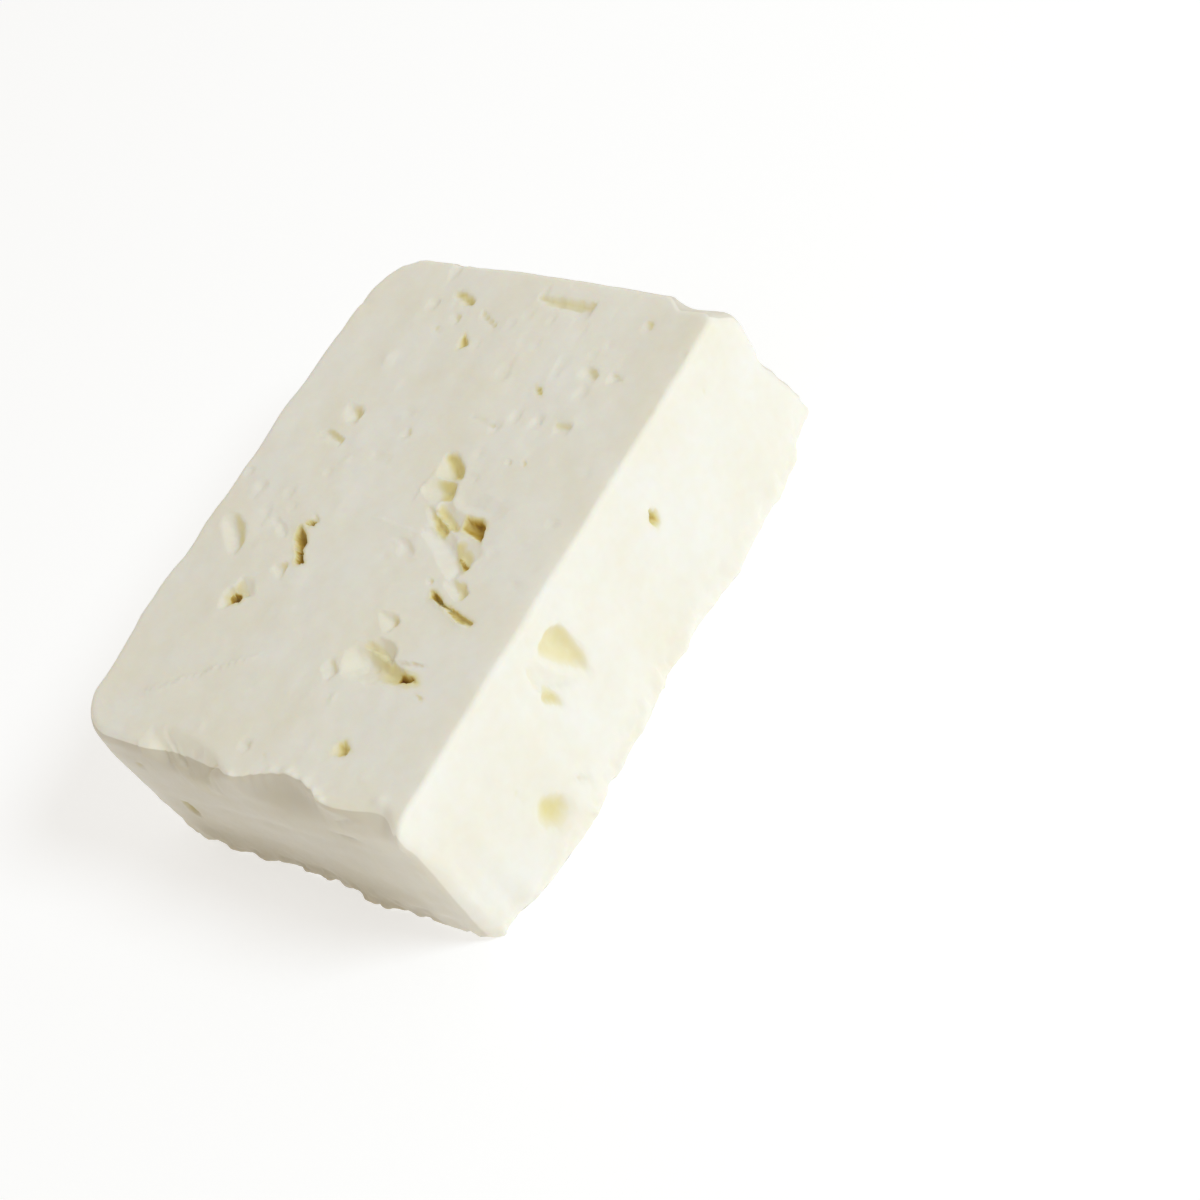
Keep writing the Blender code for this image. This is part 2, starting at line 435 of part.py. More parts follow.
def weathered(points):
    """Broad lumps everywhere, level ridges on both cut ends, and crumbling along the foot."""
    x, y, z = points.T
    moved = points.copy()
    for row, (size, relief) in enumerate(UNDULATION):
        for axis in range(3):
            hold = smooth(z / FOOT_HOLD) if axis == 2 else 1.0
            moved[:, axis] += relief * hold * lump_field(points, size, 10 * row + axis)
    waves = np.stack([y / RIDGE_RUN, z / RIDGE_PITCH + RIDGE_TILT * y, x / LENGTH], 1)
    ridges = RIDGE_RELIEF * lump_field(waves, 1.0, 41)
    on_end = fade(np.abs(x), (LENGTH / 2 - RIDGE_MARGIN - 1.0, LENGTH / 2 - 1.0))
    on_end *= smooth(z / RIDGE_MARGIN) * smooth((HEIGHT - z) / RIDGE_MARGIN)
    moved[:, 0] += ridges * on_end * np.sign(x)
    foot = smooth((CRUMBLE_HIGH - z) / CRUMBLE_HIGH)
    for axis, seed in ((0, 51), (1, 52)):
        moved[:, axis] += CRUMBLE_RELIEF * foot * lump_field(points, CRUMBLE_SIZE, seed)
    return moved


def on_face(points, face):
    """The two coordinates that a face's pits are drawn in, and how far each point is behind that face."""
    x, y, z = points.T
    if face == "top":
        return np.stack([x, y], 1), HEIGHT - z
    if face == "front":
        return np.stack([x, z], 1), y + WIDTH / 2 - MIDDLE_Y
    if face == "mould side":
        return np.stack([x, z], 1), WIDTH / 2 + MIDDLE_Y - y
    if face == "end":
        return np.stack([y, z], 1), x + LENGTH / 2
    return np.stack([y, z], 1), LENGTH / 2 - x


INWARDS = {
    "top": (0, 0, -1),
    "front": (0, 1, 0),
    "mould side": (0, -1, 0),
    "end": (1, 0, 0),
    "far end": (-1, 0, 0),
}


def sides_of(pit):
    """A rim's corners in counter-clockwise order, with each side's inward normal and slope."""
    rim = np.array(pit.rim)
    after = np.roll(rim, -1, axis=0)
    if np.sum(rim[:, 0] * after[:, 1] - after[:, 0] * rim[:, 1]) < 0:
        rim = rim[::-1]
        after = np.roll(rim, -1, axis=0)
    run = (after - rim) / np.linalg.norm(after - rim, axis=1, keepdims=True)
    inward = np.stack([-run[:, 1], run[:, 0]], 1)
    lean = np.radians(pit.lean)
    facing = -(inward @ np.array([np.cos(lean), np.sin(lean)]))
    slope = pit.gentle + (pit.steep - pit.gentle) * (0.5 + 0.5 * facing) ** 1.5
    return rim, after, inward, slope


def rim_distance(plane, pit):
    """Signed distance to a rim, more than 0 inside it, and the nearest point of the rim."""
    rim, after, inward, slope = sides_of(pit)
    nearest = np.full(len(plane), np.inf)
    foot = np.zeros_like(plane)
    inside = np.ones(len(plane), bool)
    for a, b, normal in zip(rim, after, inward):
        share = np.clip(((plane - a) @ (b - a)) / np.dot(b - a, b - a), 0, 1)
        close = a + share[:, None] * (b - a)
        gap = np.linalg.norm(plane - close, axis=1)
        better = gap < nearest
        nearest = np.where(better, gap, nearest)
        foot[better] = close[better]
        inside &= (plane - a) @ normal > 0
    return np.where(inside, nearest, -nearest), foot


def drawn_to_rims(points, pits):
    """Grid points near a rim slid towards it along the face, so that the rim is crisp."""
    moved = points.copy()
    for pit in pits:
        plane, behind = on_face(moved, pit.face)
        rim = np.array(pit.rim)
        low, high = rim.min(0) - RIM_REACH, rim.max(0) + RIM_REACH
        near = ((plane > low) & (plane < high)).all(1) & (np.abs(behind) < PIT_REACH - 1.0)
        chosen = np.nonzero(near)[0]
        if not len(chosen):
            continue
        distance, foot = rim_distance(plane[chosen], pit)
        gap = np.abs(distance)
        held = np.clip(gap / RIM_REACH, 1e-6, 1.0)
        target = foot + (plane[chosen] - foot) * (held ** (RIM_PULL - 1.0))[:, None]
        axes = [axis for axis in range(3) if INWARDS[pit.face][axis] == 0]
        for column, axis in enumerate(axes):
            moved[chosen, axis] = target[:, column]
    return moved


def pit_depth(plane, pit):
    """Depth of a pit: the least of the distance in from each side times that side's slope, to a floor."""
    rim, _, inward, slope = sides_of(pit)
    depth = np.full(len(plane), pit.deep)
    for corner, normal, steepness in zip(rim, inward, slope):
        depth = np.minimum(depth, steepness * ((plane - corner) @ normal))
    return np.maximum(depth, 0.0)


def pitted(points, pits):
    """The surface with its pits sunk in, each face along its own inward direction."""
    moved = points.copy()
    for face, inwards in INWARDS.items():
        plane, behind = on_face(points, face)
        ragged = plane + RAGGED_REACH * np.stack([lump_field(points, RAGGED_SIZE, 61),
                                                  lump_field(points, RAGGED_SIZE, 62)], 1)
        depth = np.zeros(len(points))
        for pit in pits:
            if pit.face == face:
                depth = np.maximum(depth, pit_depth(ragged, pit))
        depth *= smooth((PIT_REACH - np.abs(behind)) / 2.0)
        depth *= 1.0 + FLOOR_RELIEF * lump_field(points, FLOOR_SIZE, 63)
        moved += depth[:, None] * np.array(inwards, float)
    return moved


def scattered_pits(face, count, run, rise, seed):
    """Torn five- to seven-sided pits, placed by a seeded rule along a face."""
    draw = np.random.default_rng(seed)
    pits = []
    for row in range(count):
        middle = np.array([(row + draw.uniform(0.15, 0.85)) / count * 2 * run - run, draw.uniform(*rise)])
        reach = draw.choice([1.0, 1.4, 2.2, 3.4])
        turns = np.sort(draw.uniform(0, 2 * np.pi, draw.integers(5, 8)))
        stretch = draw.uniform(0.45, 1.0)
        tilt = draw.uniform(0, np.pi)
        ring = np.stack([np.cos(turns), stretch * np.sin(turns)], 1) * reach
        turned = ring @ np.array([[np.cos(tilt), np.sin(tilt)], [-np.sin(tilt), np.cos(tilt)]])
        rim = tuple(tuple(corner) for corner in middle + turned)
        pits.append(Pit(face, 0.5 * reach + 0.4, draw.uniform(-180, 180), 0.6, 2.2, rim))
    return tuple(pits)


def block_mesh():
    """The whole surface as a mesh, in metres, with the middle of its footprint at the origin."""
    pits = TOP_PITS + FRONT_PITS + END_PITS
    pits += scattered_pits("mould side", MOULD_SIDE_PITS, 52.0, (6.0, 30.0), PIT_SEED)
    pits += scattered_pits("far end", FAR_END_PITS, 34.0, (7.0, 29.0), PIT_SEED + 1)
    box, faces = wrapped_grid()
    points = swollen(rounded(box))
    points = drawn_to_rims(points, pits)
    points = pitted(weathered(points), pits)
    points[:, 2] = np.maximum(points[:, 2], 0.0)
    points[:, :2] -= np.array(FOOTPRINT_MIDDLE)
    mesh = bpy.data.meshes.new(NODE)
    mesh.from_pydata(points * MM, [], faces)
    mesh.validate()
    mesh.update()
    return mesh


def cheese_material():
    """Fresh white cheese: matte, moist, warm white."""
    material = bpy.data.materials.new("fresh_white_cheese")
    material.use_nodes = True
    shader = material.node_tree.nodes["Principled BSDF"]
    shader.inputs["Base Color"].default_value = (0.90, 0.87, 0.74, 1.0)
    shader.inputs["Roughness"].default_value = 0.55
    shader.inputs["Metallic"].default_value = 0.0
    return material


def main():
    for old in list(bpy.data.objects):
        bpy.data.objects.remove(old, do_unlink=True)
    block = bpy.data.objects.new(NODE, block_mesh())
    bpy.context.scene.collection.objects.link(block)
    block.data.materials.append(cheese_material())
    block.data.shade_smooth()
    plain = block.modifiers.new("plain stretches joined", "DECIMATE")
    plain.ratio = KEPT_SHARE


main()
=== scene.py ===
"""The looks of a block of fresh white cheese: torn curd holes, cut faces, a moist surface and light.

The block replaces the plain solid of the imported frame. Its surface is one closed grid wrapped round a
box, worked out as whole arrays: rounded, set askew, swollen and worn, with the holes sunk into it last.
Lengths in the shape classes are in millimetres, and are turned to metres when the mesh is made.
"""

import logging
import math
from collections.abc import Callable
from dataclasses import dataclass, field, replace
from enum import Enum

import bpy
import numpy as np
from mathutils import Matrix, Vector


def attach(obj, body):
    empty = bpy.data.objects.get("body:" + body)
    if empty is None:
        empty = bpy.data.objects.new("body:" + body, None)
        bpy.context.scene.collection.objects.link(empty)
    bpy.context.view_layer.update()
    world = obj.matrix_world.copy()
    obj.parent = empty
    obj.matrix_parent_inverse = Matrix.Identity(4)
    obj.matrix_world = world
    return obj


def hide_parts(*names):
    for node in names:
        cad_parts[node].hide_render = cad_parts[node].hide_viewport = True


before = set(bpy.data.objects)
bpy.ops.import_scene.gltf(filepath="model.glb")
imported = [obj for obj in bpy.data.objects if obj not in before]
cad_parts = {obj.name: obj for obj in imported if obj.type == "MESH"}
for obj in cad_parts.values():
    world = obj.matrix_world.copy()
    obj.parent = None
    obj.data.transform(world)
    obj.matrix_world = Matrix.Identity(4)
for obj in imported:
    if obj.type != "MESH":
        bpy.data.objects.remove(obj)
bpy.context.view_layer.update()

LOG = logging.getLogger("cheese")
MM = 0.001
NODE = "cheese_block"

# The lattice of random values, how a pit's walls run, and how its brown of dried whey with painted shade
# runs
LATTICE_SIDE = 32
WALL_CURVE = 1.5
SOFTEST_MM = 0.45
STAIN_SHADE_REACH, STAIN_SHADE_START, STAIN_SHADE_BLEND = 1.9, 0.15, 0.6
STAIN_SHADE_RISE, FILL_RISE = 0.3, 0.4

# A lip's taper at both ends as a share of its length, and the cut on its right in millimetres
LIP_TAPER = 0.25
LIP_CUT = 0.12


class Side(Enum):
    """A face of the block: its two drawing axes, the axis that goes inwards, and which way inwards is."""

    TOP = (0, 1, 2, -1.0)
    FRONT = (0, 2, 1, 1.0)
    MOULD_SIDE = (0, 2, 1, -1.0)
    END = (1, 2, 0, 1.0)
    FAR_END = (1, 2, 0, -1.0)


def smooth(share: np.ndarray) -> np.ndarray:
    """An S-shaped blend from 0 to 1: three squares less two cubes."""
    share = np.clip(share, 0.0, 1.0)
    return share * share * (3.0 - 2.0 * share)


def fade(place: np.ndarray, stretch: tuple) -> np.ndarray:
    """A smooth blend from 0 at the first of two places to 1 at the second."""
    return smooth((place - stretch[0]) / (stretch[1] - stretch[0]))


def along(profile: tuple, place: np.ndarray) -> np.ndarray:
    """A value at each place, blended smoothly between the named points of a profile.

    Args:
        profile: Pairs of a place and the value there, in rising order of place.
        place: Where the value is wanted.

    Returns:
        One value for each place.
    """
    at, value = np.array(profile).T
    index = np.clip(np.searchsorted(at, place) - 1, 0, len(at) - 2)
    part = smooth((place - at[index]) / (at[index + 1] - at[index]))
    return value[index] + (value[index + 1] - value[index]) * part


def lump_field(points: np.ndarray, size: float, seed: int) -> np.ndarray:
    """Smooth random lumps: a seeded lattice of values from -1 to 1, blended in three directions.

    Args:
        points: Places, one row of three numbers each.
        size: The distance between the lattice's values, in the same unit.
        seed: Starts the random draw.

    Returns:
        The lumps' height at each place.
    """
    lattice = np.random.default_rng(seed).uniform(-1.0, 1.0, (LATTICE_SIDE,) * 3)
    place = points / size + 100.0 * LATTICE_SIDE
    cell = np.floor(place).astype(int)
    part = place - cell
    part = part * part * part * (part * (part * 6.0 - 15.0) + 10.0)
    total = np.zeros(len(points))
    for corner in np.ndindex(2, 2, 2):
        at = (cell + corner) % LATTICE_SIDE
        weight = np.prod(np.where(corner, part, 1.0 - part), axis=1)
        total += weight * lattice[at[:, 0], at[:, 1], at[:, 2]]
    return total


@dataclass(frozen=True)
class Pit:
    """A hole between curds.

    Attributes:
        deep: Depth of its floor.
        lean: Direction on the face, in degrees, towards its steep wall.
        gentle: Slope of the wall opposite the steep one.
        steep: Slope of the steep wall.
        rim: Corners of its convex rim, in the face's two drawing axes.
        side: The face it is in.
        stain_and_shade: How brown it is, from 0 to 1: partly whey dried in it, partly painted shade in
            its depth and on its shaded steep wall.
        fill: How far the brown reaches towards the gentle side, from 0 to 1.
        soft: How softly its walls and floor meet, as a share of the depth.
    """

    deep: float
    lean: float
    gentle: float
    steep: float
    rim: tuple
    side: Side = Side.TOP
    stain_and_shade: float = 0.2
    fill: float = 0.0
    soft: float = 0.09

    def outline(self) -> tuple[np.ndarray, np.ndarray, np.ndarray]:
        """The rim in counter-clockwise order.

        Returns:
            Each side's first corner, its last corner, and its inward direction.
        """
        rim = np.array(self.rim)
        after = np.roll(rim, -1, axis=0)
        if np.sum(rim[:, 0] * after[:, 1] - after[:, 0] * rim[:, 1]) < 0:
            rim = rim[::-1]
            after = np.roll(rim, -1, axis=0)
        run = (after - rim) / np.linalg.norm(after - rim, axis=1, keepdims=True)
        return rim, after, np.stack([-run[:, 1], run[:, 0]], 1)

    def depth(self, plane: np.ndarray) -> np.ndarray:
        """Depth at each place: the distance in from each side times its slope, and the floor's depth.

        The least of them counts, and a sum of exponentials blends them softly where they meet.

        Args:
            plane: Places in the face's drawing axes.

        Returns:
            The depth at each of them, 0 outside the pit.
        """
        rim, _, inward = self.outline()
        lean = math.radians(self.lean)
        facing = -(inward @ np.array([math.cos(lean), math.sin(lean)]))
        slope = self.gentle + (self.steep - self.gentle) * (0.5 + 0.5 * facing) ** WALL_CURVE
        soft = min(SOFTEST_MM, self.soft * self.deep)
        total = np.full(len(plane), math.exp(-self.deep / soft))
        for corner, normal, steepness in zip(rim, inward, slope):
            wall = np.clip(steepness * ((plane - corner) @ normal), -1.0, 3.0 * self.deep)
            total += np.exp(-wall / soft)
        return np.maximum(-soft * np.log(total), 0.0)

    def tone(self, plane: np.ndarray, depth: np.ndarray) -> np.ndarray:
        """How brown each place is, part dried whey and part painted shade: most on the steep side, which
        is the shaded one, and all over where the brown is strong.

        Args:
            plane: Places in the face's drawing axes.
            depth: The pit's depth at each of them.

        Returns:
            Values from 0 to the pit's stain.
        """
        lean = math.radians(self.lean)
        way = np.array([math.cos(lean), math.sin(lean)])
        reach = np.array(self.rim) @ way
        share = (plane @ way - reach.mean()) / (0.5 * np.ptp(reach))
        # Painted shade: the brown is strongest on the steep wall, which faces away from the key light,
        # and grows with depth
        shaded = smooth((share + self.fill + STAIN_SHADE_REACH * self.stain_and_shade - STAIN_SHADE_START) / STAIN_SHADE_BLEND)
        return self.stain_and_shade * shaded * smooth(depth / ((STAIN_SHADE_RISE + FILL_RISE * self.fill) * self.deep))

    def nearest(self, plane: np.ndarray) -> tuple[np.ndarray, np.ndarray]:
        """The nearest point of the rim to each place.

        Args:
            plane: Places in the face's drawing axes.

        Returns:
            The signed distance, more than 0 inside the rim, and the way from the place to the rim.
        """
        rim, after, inward = self.outline()
        gap = np.full(len(plane), np.inf)
        way = np.zeros_like(plane)
        inside = np.ones(len(plane), bool)
        for a, b, normal in zip(rim, after, inward):
            share = np.clip(((plane - a) @ (b - a)) / np.dot(b - a, b - a), 0, 1)
            step = a + share[:, None] * (b - a) - plane
            length = np.linalg.norm(step, axis=1)
            better = length < gap
            gap = np.where(better, length, gap)
            way[better] = step[better]
            inside &= (plane - a) @ normal > 0
        return np.where(inside, gap, -gap), way


@dataclass(frozen=True)
class Flake:
    """A thin torn lip: the surface stands up along a line and falls away on one side of it.

    Attributes:
        start: Where the line starts on the top.
        end: Where it ends.
        high: How far the lip stands up.
        fade: How far away on its left the lip has sunk to a third.
    """

    start: tuple[float, float]
    end: tuple[float, float]
    high: float
    fade: float

    def height(self, plane: np.ndarray) -> np.ndarray:
        """Height at each place: it dies off to the line's left and is cut sharp on its right.

        Args:
            plane: Places on the top.

        Returns:
            The height at each of them, 0 beyond both ends of the line.
        """
        start, end = np.array(self.start), np.array(self.end)
        length = np.linalg.norm(end - start)
        run = (end - start) / length
        along_line = (plane - start) @ run / length
        left = (plane - start) @ np.array([-run[1], run[0]])
        window = smooth(along_line / LIP_TAPER) * smooth((1.0 - along_line) / LIP_TAPER)
        return self.high * window * np.where(left > 0, np.exp(-left / self.fade), np.exp(left / LIP_CUT))


TOP_PITS = (
    # The long teardrop near the ridged end: its bowl, the facet on its right, its tip and a groove
    Pit(3.6, -35.0, 0.62, 1.0, (
        (-35.5, -15.0), (-34.4, -22.6), (-33.1, -26.6), (-32.3, -27.8), (-31.4, -26.6), (-27.2, -15.0),
        (-26.6, -11.6), (-27.4, -9.6), (-29.6, -8.0), (-33.0, -8.8), (-35.2, -10.2)), stain_and_shade=0.22),
    Pit(3.1, 155.0, 1.1, 2.2, (
        (-30.0, -20.4), (-28.4, -20.0), (-26.4, -19.0), (-25.2, -15.4), (-25.4, -12.8), (-27.6, -10.2),
        (-29.0, -15.0)), stain_and_shade=0.17),
    Pit(5.6, 0.0, 2.6, 3.4, (
        (-33.2, -22.8), (-33.0, -26.2), (-32.3, -27.6), (-31.6, -26.8), (-30.9, -24.4),
        (-31.0, -22.2)), stain_and_shade=1.0),
    Pit(0.8, 0.0, 0.5, 1.2, (
        (-30.4, -21.4), (-29.8, -26.4), (-29.0, -29.0), (-28.6, -24.6), (-28.8, -20.4)), stain_and_shade=0.1),
    # The cluster in the middle: two lobes, the crevice and knob left of them, the hole and the flat below
    Pit(2.6, -40.0, 0.8, 1.0, (
        (9.4, -4.6), (10.0, -8.8), (12.0, -8.9), (14.6, -7.0), (16.4, -4.0), (16.0, -2.0), (13.0, -1.2),
        (10.4, -2.4)), stain_and_shade=0.32),
    Pit(2.4, -50.0, 0.75, 1.0, (
        (4.4, -6.0), (5.8, -9.8), (7.6, -9.4), (9.6, -8.6), (10.4, -5.0), (9.2, -2.0), (7.0, -1.0),
        (5.0, -3.2)), stain_and_shade=0.28),
    Pit(2.8, -60.0, 1.0, 1.6, (
        (-2.6, -12.4), (-0.8, -13.8), (3.4, -6.8), (3.4, -4.4), (0.2, -7.8), (-2.2, -10.4)), stain_and_shade=0.36),
    Pit(2.2, 150.0, 0.55, 1.6, (
        (-0.8, -13.6), (0.0, -15.8), (3.4, -15.4), (6.2, -9.2), (5.4, -7.6), (3.4, -7.2),
        (1.2, -9.6)), stain_and_shade=0.24),
    Pit(2.8, -20.0, 1.4, 2.2, (
        (-2.0, -22.3), (0.0, -21.7), (2.5, -20.7), (3.3, -18.0), (3.2, -14.6), (0.6, -15.0),
        (-0.5, -17.4), (-1.3, -20.0)), stain_and_shade=0.58),
    Pit(5.4, 0.0, 2.6, 3.4, (
        (0.8, -21.2), (2.5, -20.6), (3.2, -18.4), (3.2, -16.2), (1.9, -16.4)), stain_and_shade=0.85),
    Pit(1.6, 150.0, 0.3, 1.1, (
        (-7.8, -23.2), (-5.8, -24.0), (-3.4, -24.5), (-1.8, -22.0), (-0.8, -19.0), (-1.6, -17.0),
        (-3.4, -16.4), (-5.6, -18.4)), stain_and_shade=0.22),
    Pit(2.8, -60.0, 1.6, 2.4, (
        (-8.5, -22.8), (-7.4, -23.3), (-5.5, -20.4), (-4.7, -18.0), (-5.6, -18.2),
        (-7.4, -20.6)), stain_and_shade=0.62),
    Pit(1.7, -35.0, 0.62, 0.8, (
        (-11.4, -21.2), (-7.8, -23.2), (-3.4, -18.6), (-0.6, -14.0), (-0.4, -9.0), (-1.0, -6.4),
        (-2.8, -8.4), (-7.8, -15.4)), stain_and_shade=0.0),
    Pit(0.7, -35.0, 0.4, 0.5, (
        (-8.4, -6.0), (-7.4, -9.6), (-5.2, -8.0), (-3.6, -4.0), (-4.6, -1.4)), stain_and_shade=0.05),
    Pit(0.7, -35.0, 0.22, 0.22, (
        (2.8, -22.0), (6.4, -24.0), (9.0, -16.0), (8.5, -10.2), (3.0, -10.5)), stain_and_shade=0.0),
    # The deep slit and its tail, the hole beside it, and the dent left of it
    Pit(3.4, -30.0, 2.6, 2.8, (
        (-13.0, 17.6), (-11.4, 16.7), (-9.6, 17.2), (-8.2, 18.8), (-6.5, 20.9), (-7.2, 21.8),
        (-8.8, 21.6), (-10.6, 20.3), (-12.2, 18.9)), stain_and_shade=0.57),
    Pit(3.4, -30.0, 2.6, 3.2, (
        (-15.1, 15.9), (-14.4, 14.6), (-10.6, 17.8), (-12.0, 18.8), (-14.5, 17.4)), stain_and_shade=0.66),
    Pit(1.7, 0.0, 2.4, 2.8, (
        (-6.7, 19.4), (-6.0, 18.5), (-5.2, 19.0), (-5.4, 20.3), (-6.2, 20.5)), stain_and_shade=0.6),
    Pit(1.2, -40.0, 0.6, 0.8, (
        (-5.8, 19.0), (-5.6, 17.4), (-4.2, 18.0), (-3.4, 19.8), (-4.4, 20.2)), stain_and_shade=0.15),
    Pit(1.4, -50.0, 0.7, 0.6, (
        (-19.2, 18.6), (-18.6, 17.5), (-16.6, 17.7), (-14.9, 18.0), (-14.8, 19.2), (-15.6, 21.2),
        (-17.2, 21.8)), stain_and_shade=0.2),
    Pit(0.8, -35.0, 0.42, 0.42, (
        (-10.2, 23.4), (-8.6, 23.2), (-6.4, 26.2), (-5.8, 28.6), (-6.8, 29.6), (-9.2, 26.6)), stain_and_shade=0.0),
    # The funnel with its shallow collar, and the long scoop near the mould side
    Pit(4.4, 0.0, 2.2, 3.2, (
        (-26.4, 25.0), (-25.6, 23.7), (-24.7, 23.7), (-23.4, 25.4), (-23.6, 27.5), (-24.9, 28.1),
        (-26.2, 26.8)), stain_and_shade=0.8),
    Pit(1.8, -30.0, 0.6, 0.9, (
        (-28.6, 27.2), (-26.8, 25.0), (-24.6, 23.4), (-22.4, 25.0), (-22.4, 28.8), (-24.6, 29.3),
        (-27.2, 28.8)), stain_and_shade=0.14),
    Pit(1.7, 150.0, 0.4, 1.2, (
        (-24.6, 23.4), (-23.7, 21.3), (-21.4, 22.4), (-20.0, 24.4), (-20.2, 27.6),
        (-23.4, 27.6)), stain_and_shade=0.15),
    Pit(2.2, -50.0, 1.1, 0.62, (
        (-16.6, 32.6), (-13.4, 32.1), (-10.8, 33.0), (-8.4, 35.4), (-7.0, 38.4), (-7.4, 40.6),
        (-9.4, 41.4), (-12.6, 38.8), (-16.0, 35.0)), stain_and_shade=0.2),
    # Small ones along the far half
    Pit(1.9, -45.0, 0.7, 1.0, (
        (17.4, 27.4), (17.6, 24.8), (21.2, 24.7), (22.6, 26.4), (22.6, 30.2), (20.2, 30.2)), stain_and_shade=0.18),
    Pit(0.9, -20.0, 0.5, 0.9, (
        (12.2, 25.3), (14.4, 25.0), (15.6, 28.4), (15.5, 31.0), (13.8, 33.4)), stain_and_shade=0.18),
    Pit(1.8, -20.0, 1.0, 1.2, (
        (49.6, 18.4), (49.8, 15.4), (50.9, 15.4), (51.9, 16.4), (52.7, 19.4), (52.9, 22.4),
        (51.2, 21.8)), stain_and_shade=0.34),
    Pit(1.3, -60.0, 0.9, 1.1, (
        (39.0, 11.9), (40.0, 10.2), (40.8, 10.1), (43.4, 13.6), (41.0, 13.6), (39.2, 13.0)), stain_and_shade=0.4),
    Pit(0.8, -20.0, 0.5, 0.8, (
        (41.8, 19.6), (43.2, 18.6), (43.9, 20.2), (44.3, 22.3), (42.0, 21.4)), stain_and_shade=0.15),
    Pit(0.8, -40.0, 0.5, 0.8, (
        (44.8, 17.0), (46.0, 16.4), (47.4, 16.6), (47.9, 19.4), (46.2, 19.8)), stain_and_shade=0.15),
    Pit(0.9, -30.0, 0.5, 0.9, (
        (44.6, 5.8), (46.6, 6.4), (49.6, 12.6), (47.6, 12.4), (45.8, 8.8)), stain_and_shade=0.15),
    Pit(0.6, -40.0, 0.4, 0.7, (
        (16.8, 9.2), (18.0, 9.3), (18.9, 10.2), (18.9, 11.8), (17.2, 11.2)), stain_and_shade=0.15),
    Pit(1.4, 0.0, 0.55, 0.8, (
        (50.4, -13.9), (54.9, -13.8), (54.9, 0.8), (53.2, 0.8), (51.8, -3.0), (51.0, -9.0)), stain_and_shade=0.16),
    Pit(1.2, -30.0, 0.7, 1.0, (
        (36.9, -21.4), (37.2, -24.0), (38.6, -25.2), (40.0, -23.4), (40.7, -20.2),
        (37.8, -19.4)), stain_and_shade=0.16),
    Pit(0.9, -20.0, 0.6, 0.9, (
        (36.9, -27.6), (38.2, -31.0), (39.2, -29.6), (40.0, -27.0), (38.4, -26.6)), stain_and_shade=0.1),
    Pit(0.9, -40.0, 0.5, 0.9, ((49.6, -29.2), (52.4, -29.4), (53.4, -27.2), (50.6, -26.8)), stain_and_shade=0.2),
    Pit(1.1, -40.0, 1.6, 2.0, ((31.9, -14.7), (33.4, -14.0), (34.1, -11.8), (32.8, -12.4)), stain_and_shade=0.45),
    Pit(0.7, 0.0, 0.35, 0.6, ((23.8, -22.6), (24.0, -26.0), (27.0, -26.2), (26.6, -22.0)), stain_and_shade=0.12),
    Pit(0.6, -20.0, 0.4, 0.7, ((22.6, -8.8), (24.0, -8.4), (24.9, -1.8), (23.4, -1.6)), stain_and_shade=0.1),
    Pit(0.6, -60.0, 0.4, 0.7, ((15.6, -21.4), (17.0, -21.4), (17.7, -19.8), (16.2, -19.6)), stain_and_shade=0.15),
    Pit(0.5, -60.0, 0.4, 0.7, ((15.0, -18.2), (16.4, -18.0), (17.2, -16.0), (15.6, -16.2)), stain_and_shade=0.1),
    # The narrow crack and its neighbours near the front edge
    Pit(2.2, 20.0, 3.0, 3.4, (
        (-17.1, -24.4), (-16.4, -25.0), (-13.5, -19.4), (-13.7, -18.0), (-14.9, -18.8),
        (-16.3, -21.8)), stain_and_shade=0.6),
    Pit(1.4, 0.0, 1.0, 2.2, (
        (-19.0, -31.3), (-17.9, -31.7), (-16.9, -28.0), (-16.0, -24.4), (-17.4, -24.0),
        (-18.6, -27.8)), stain_and_shade=0.5),
    Pit(1.4, -45.0, 0.6, 0.9, (
        (-14.8, -25.8), (-12.4, -26.9), (-10.6, -24.6), (-10.0, -21.4), (-11.6, -19.8),
        (-13.8, -22.6)), stain_and_shade=0.2),
    Pit(0.6, -30.0, 0.5, 0.8, (
        (-12.8, -17.6), (-11.2, -17.4), (-11.2, -15.4), (-12.6, -15.6)), stain_and_shade=0.15),
    Pit(1.9, -60.0, 0.55, 1.1, (
        (-24.8, -14.2), (-23.2, -15.4), (-21.4, -16.3), (-20.1, -14.8), (-19.8, -9.2),
        (-22.8, -11.6)), stain_and_shade=0.16),
    Pit(1.3, -45.0, 0.55, 0.6, (
        (-36.8, -7.8), (-34.8, -10.0), (-31.6, -6.8), (-32.2, -5.8), (-34.6, -5.2)), stain_and_shade=0.1),
    Pit(1.7, -60.0, 1.0, 1.2, (
        (-50.2, -19.4), (-49.4, -22.2), (-48.4, -23.2), (-46.4, -20.2), (-47.0, -18.6),
        (-49.2, -18.4)), stain_and_shade=0.44),
    Pit(1.5, -30.0, 0.8, 1.2, (
        (-55.0, 0.0), (-53.6, -1.2), (-52.3, 0.2), (-52.4, 2.0), (-53.8, 2.6)), stain_and_shade=0.06),
    Pit(0.4, -30.0, 0.3, 0.6, ((-55.4, -5.8), (-54.0, -5.8), (-53.6, -4.6), (-54.8, -4.4)), stain_and_shade=0.12),
    Pit(0.6, -30.0, 0.5, 0.8, (
        (-36.0, -31.4), (-34.8, -31.0), (-34.4, -29.0), (-35.4, -28.4)), stain_and_shade=0.2),
    # The groove behind the ridged end's rim, and the lit slope at its top
    Pit(1.6, 195.0, 0.42, 1.0, (
        (-61.6, 14.0), (-60.6, 8.0), (-57.8, 3.6), (-55.6, 8.0), (-54.4, 14.0), (-53.8, 21.8),
        (-55.8, 22.4), (-59.0, 18.8)), stain_and_shade=0.04),
    Pit(1.0, -60.0, 0.26, 0.5, (
        (-61.4, 14.0), (-58.0, 15.0), (-54.4, 21.6), (-54.6, 25.4), (-58.0, 26.0),
        (-61.4, 24.0)), stain_and_shade=0.0),
)

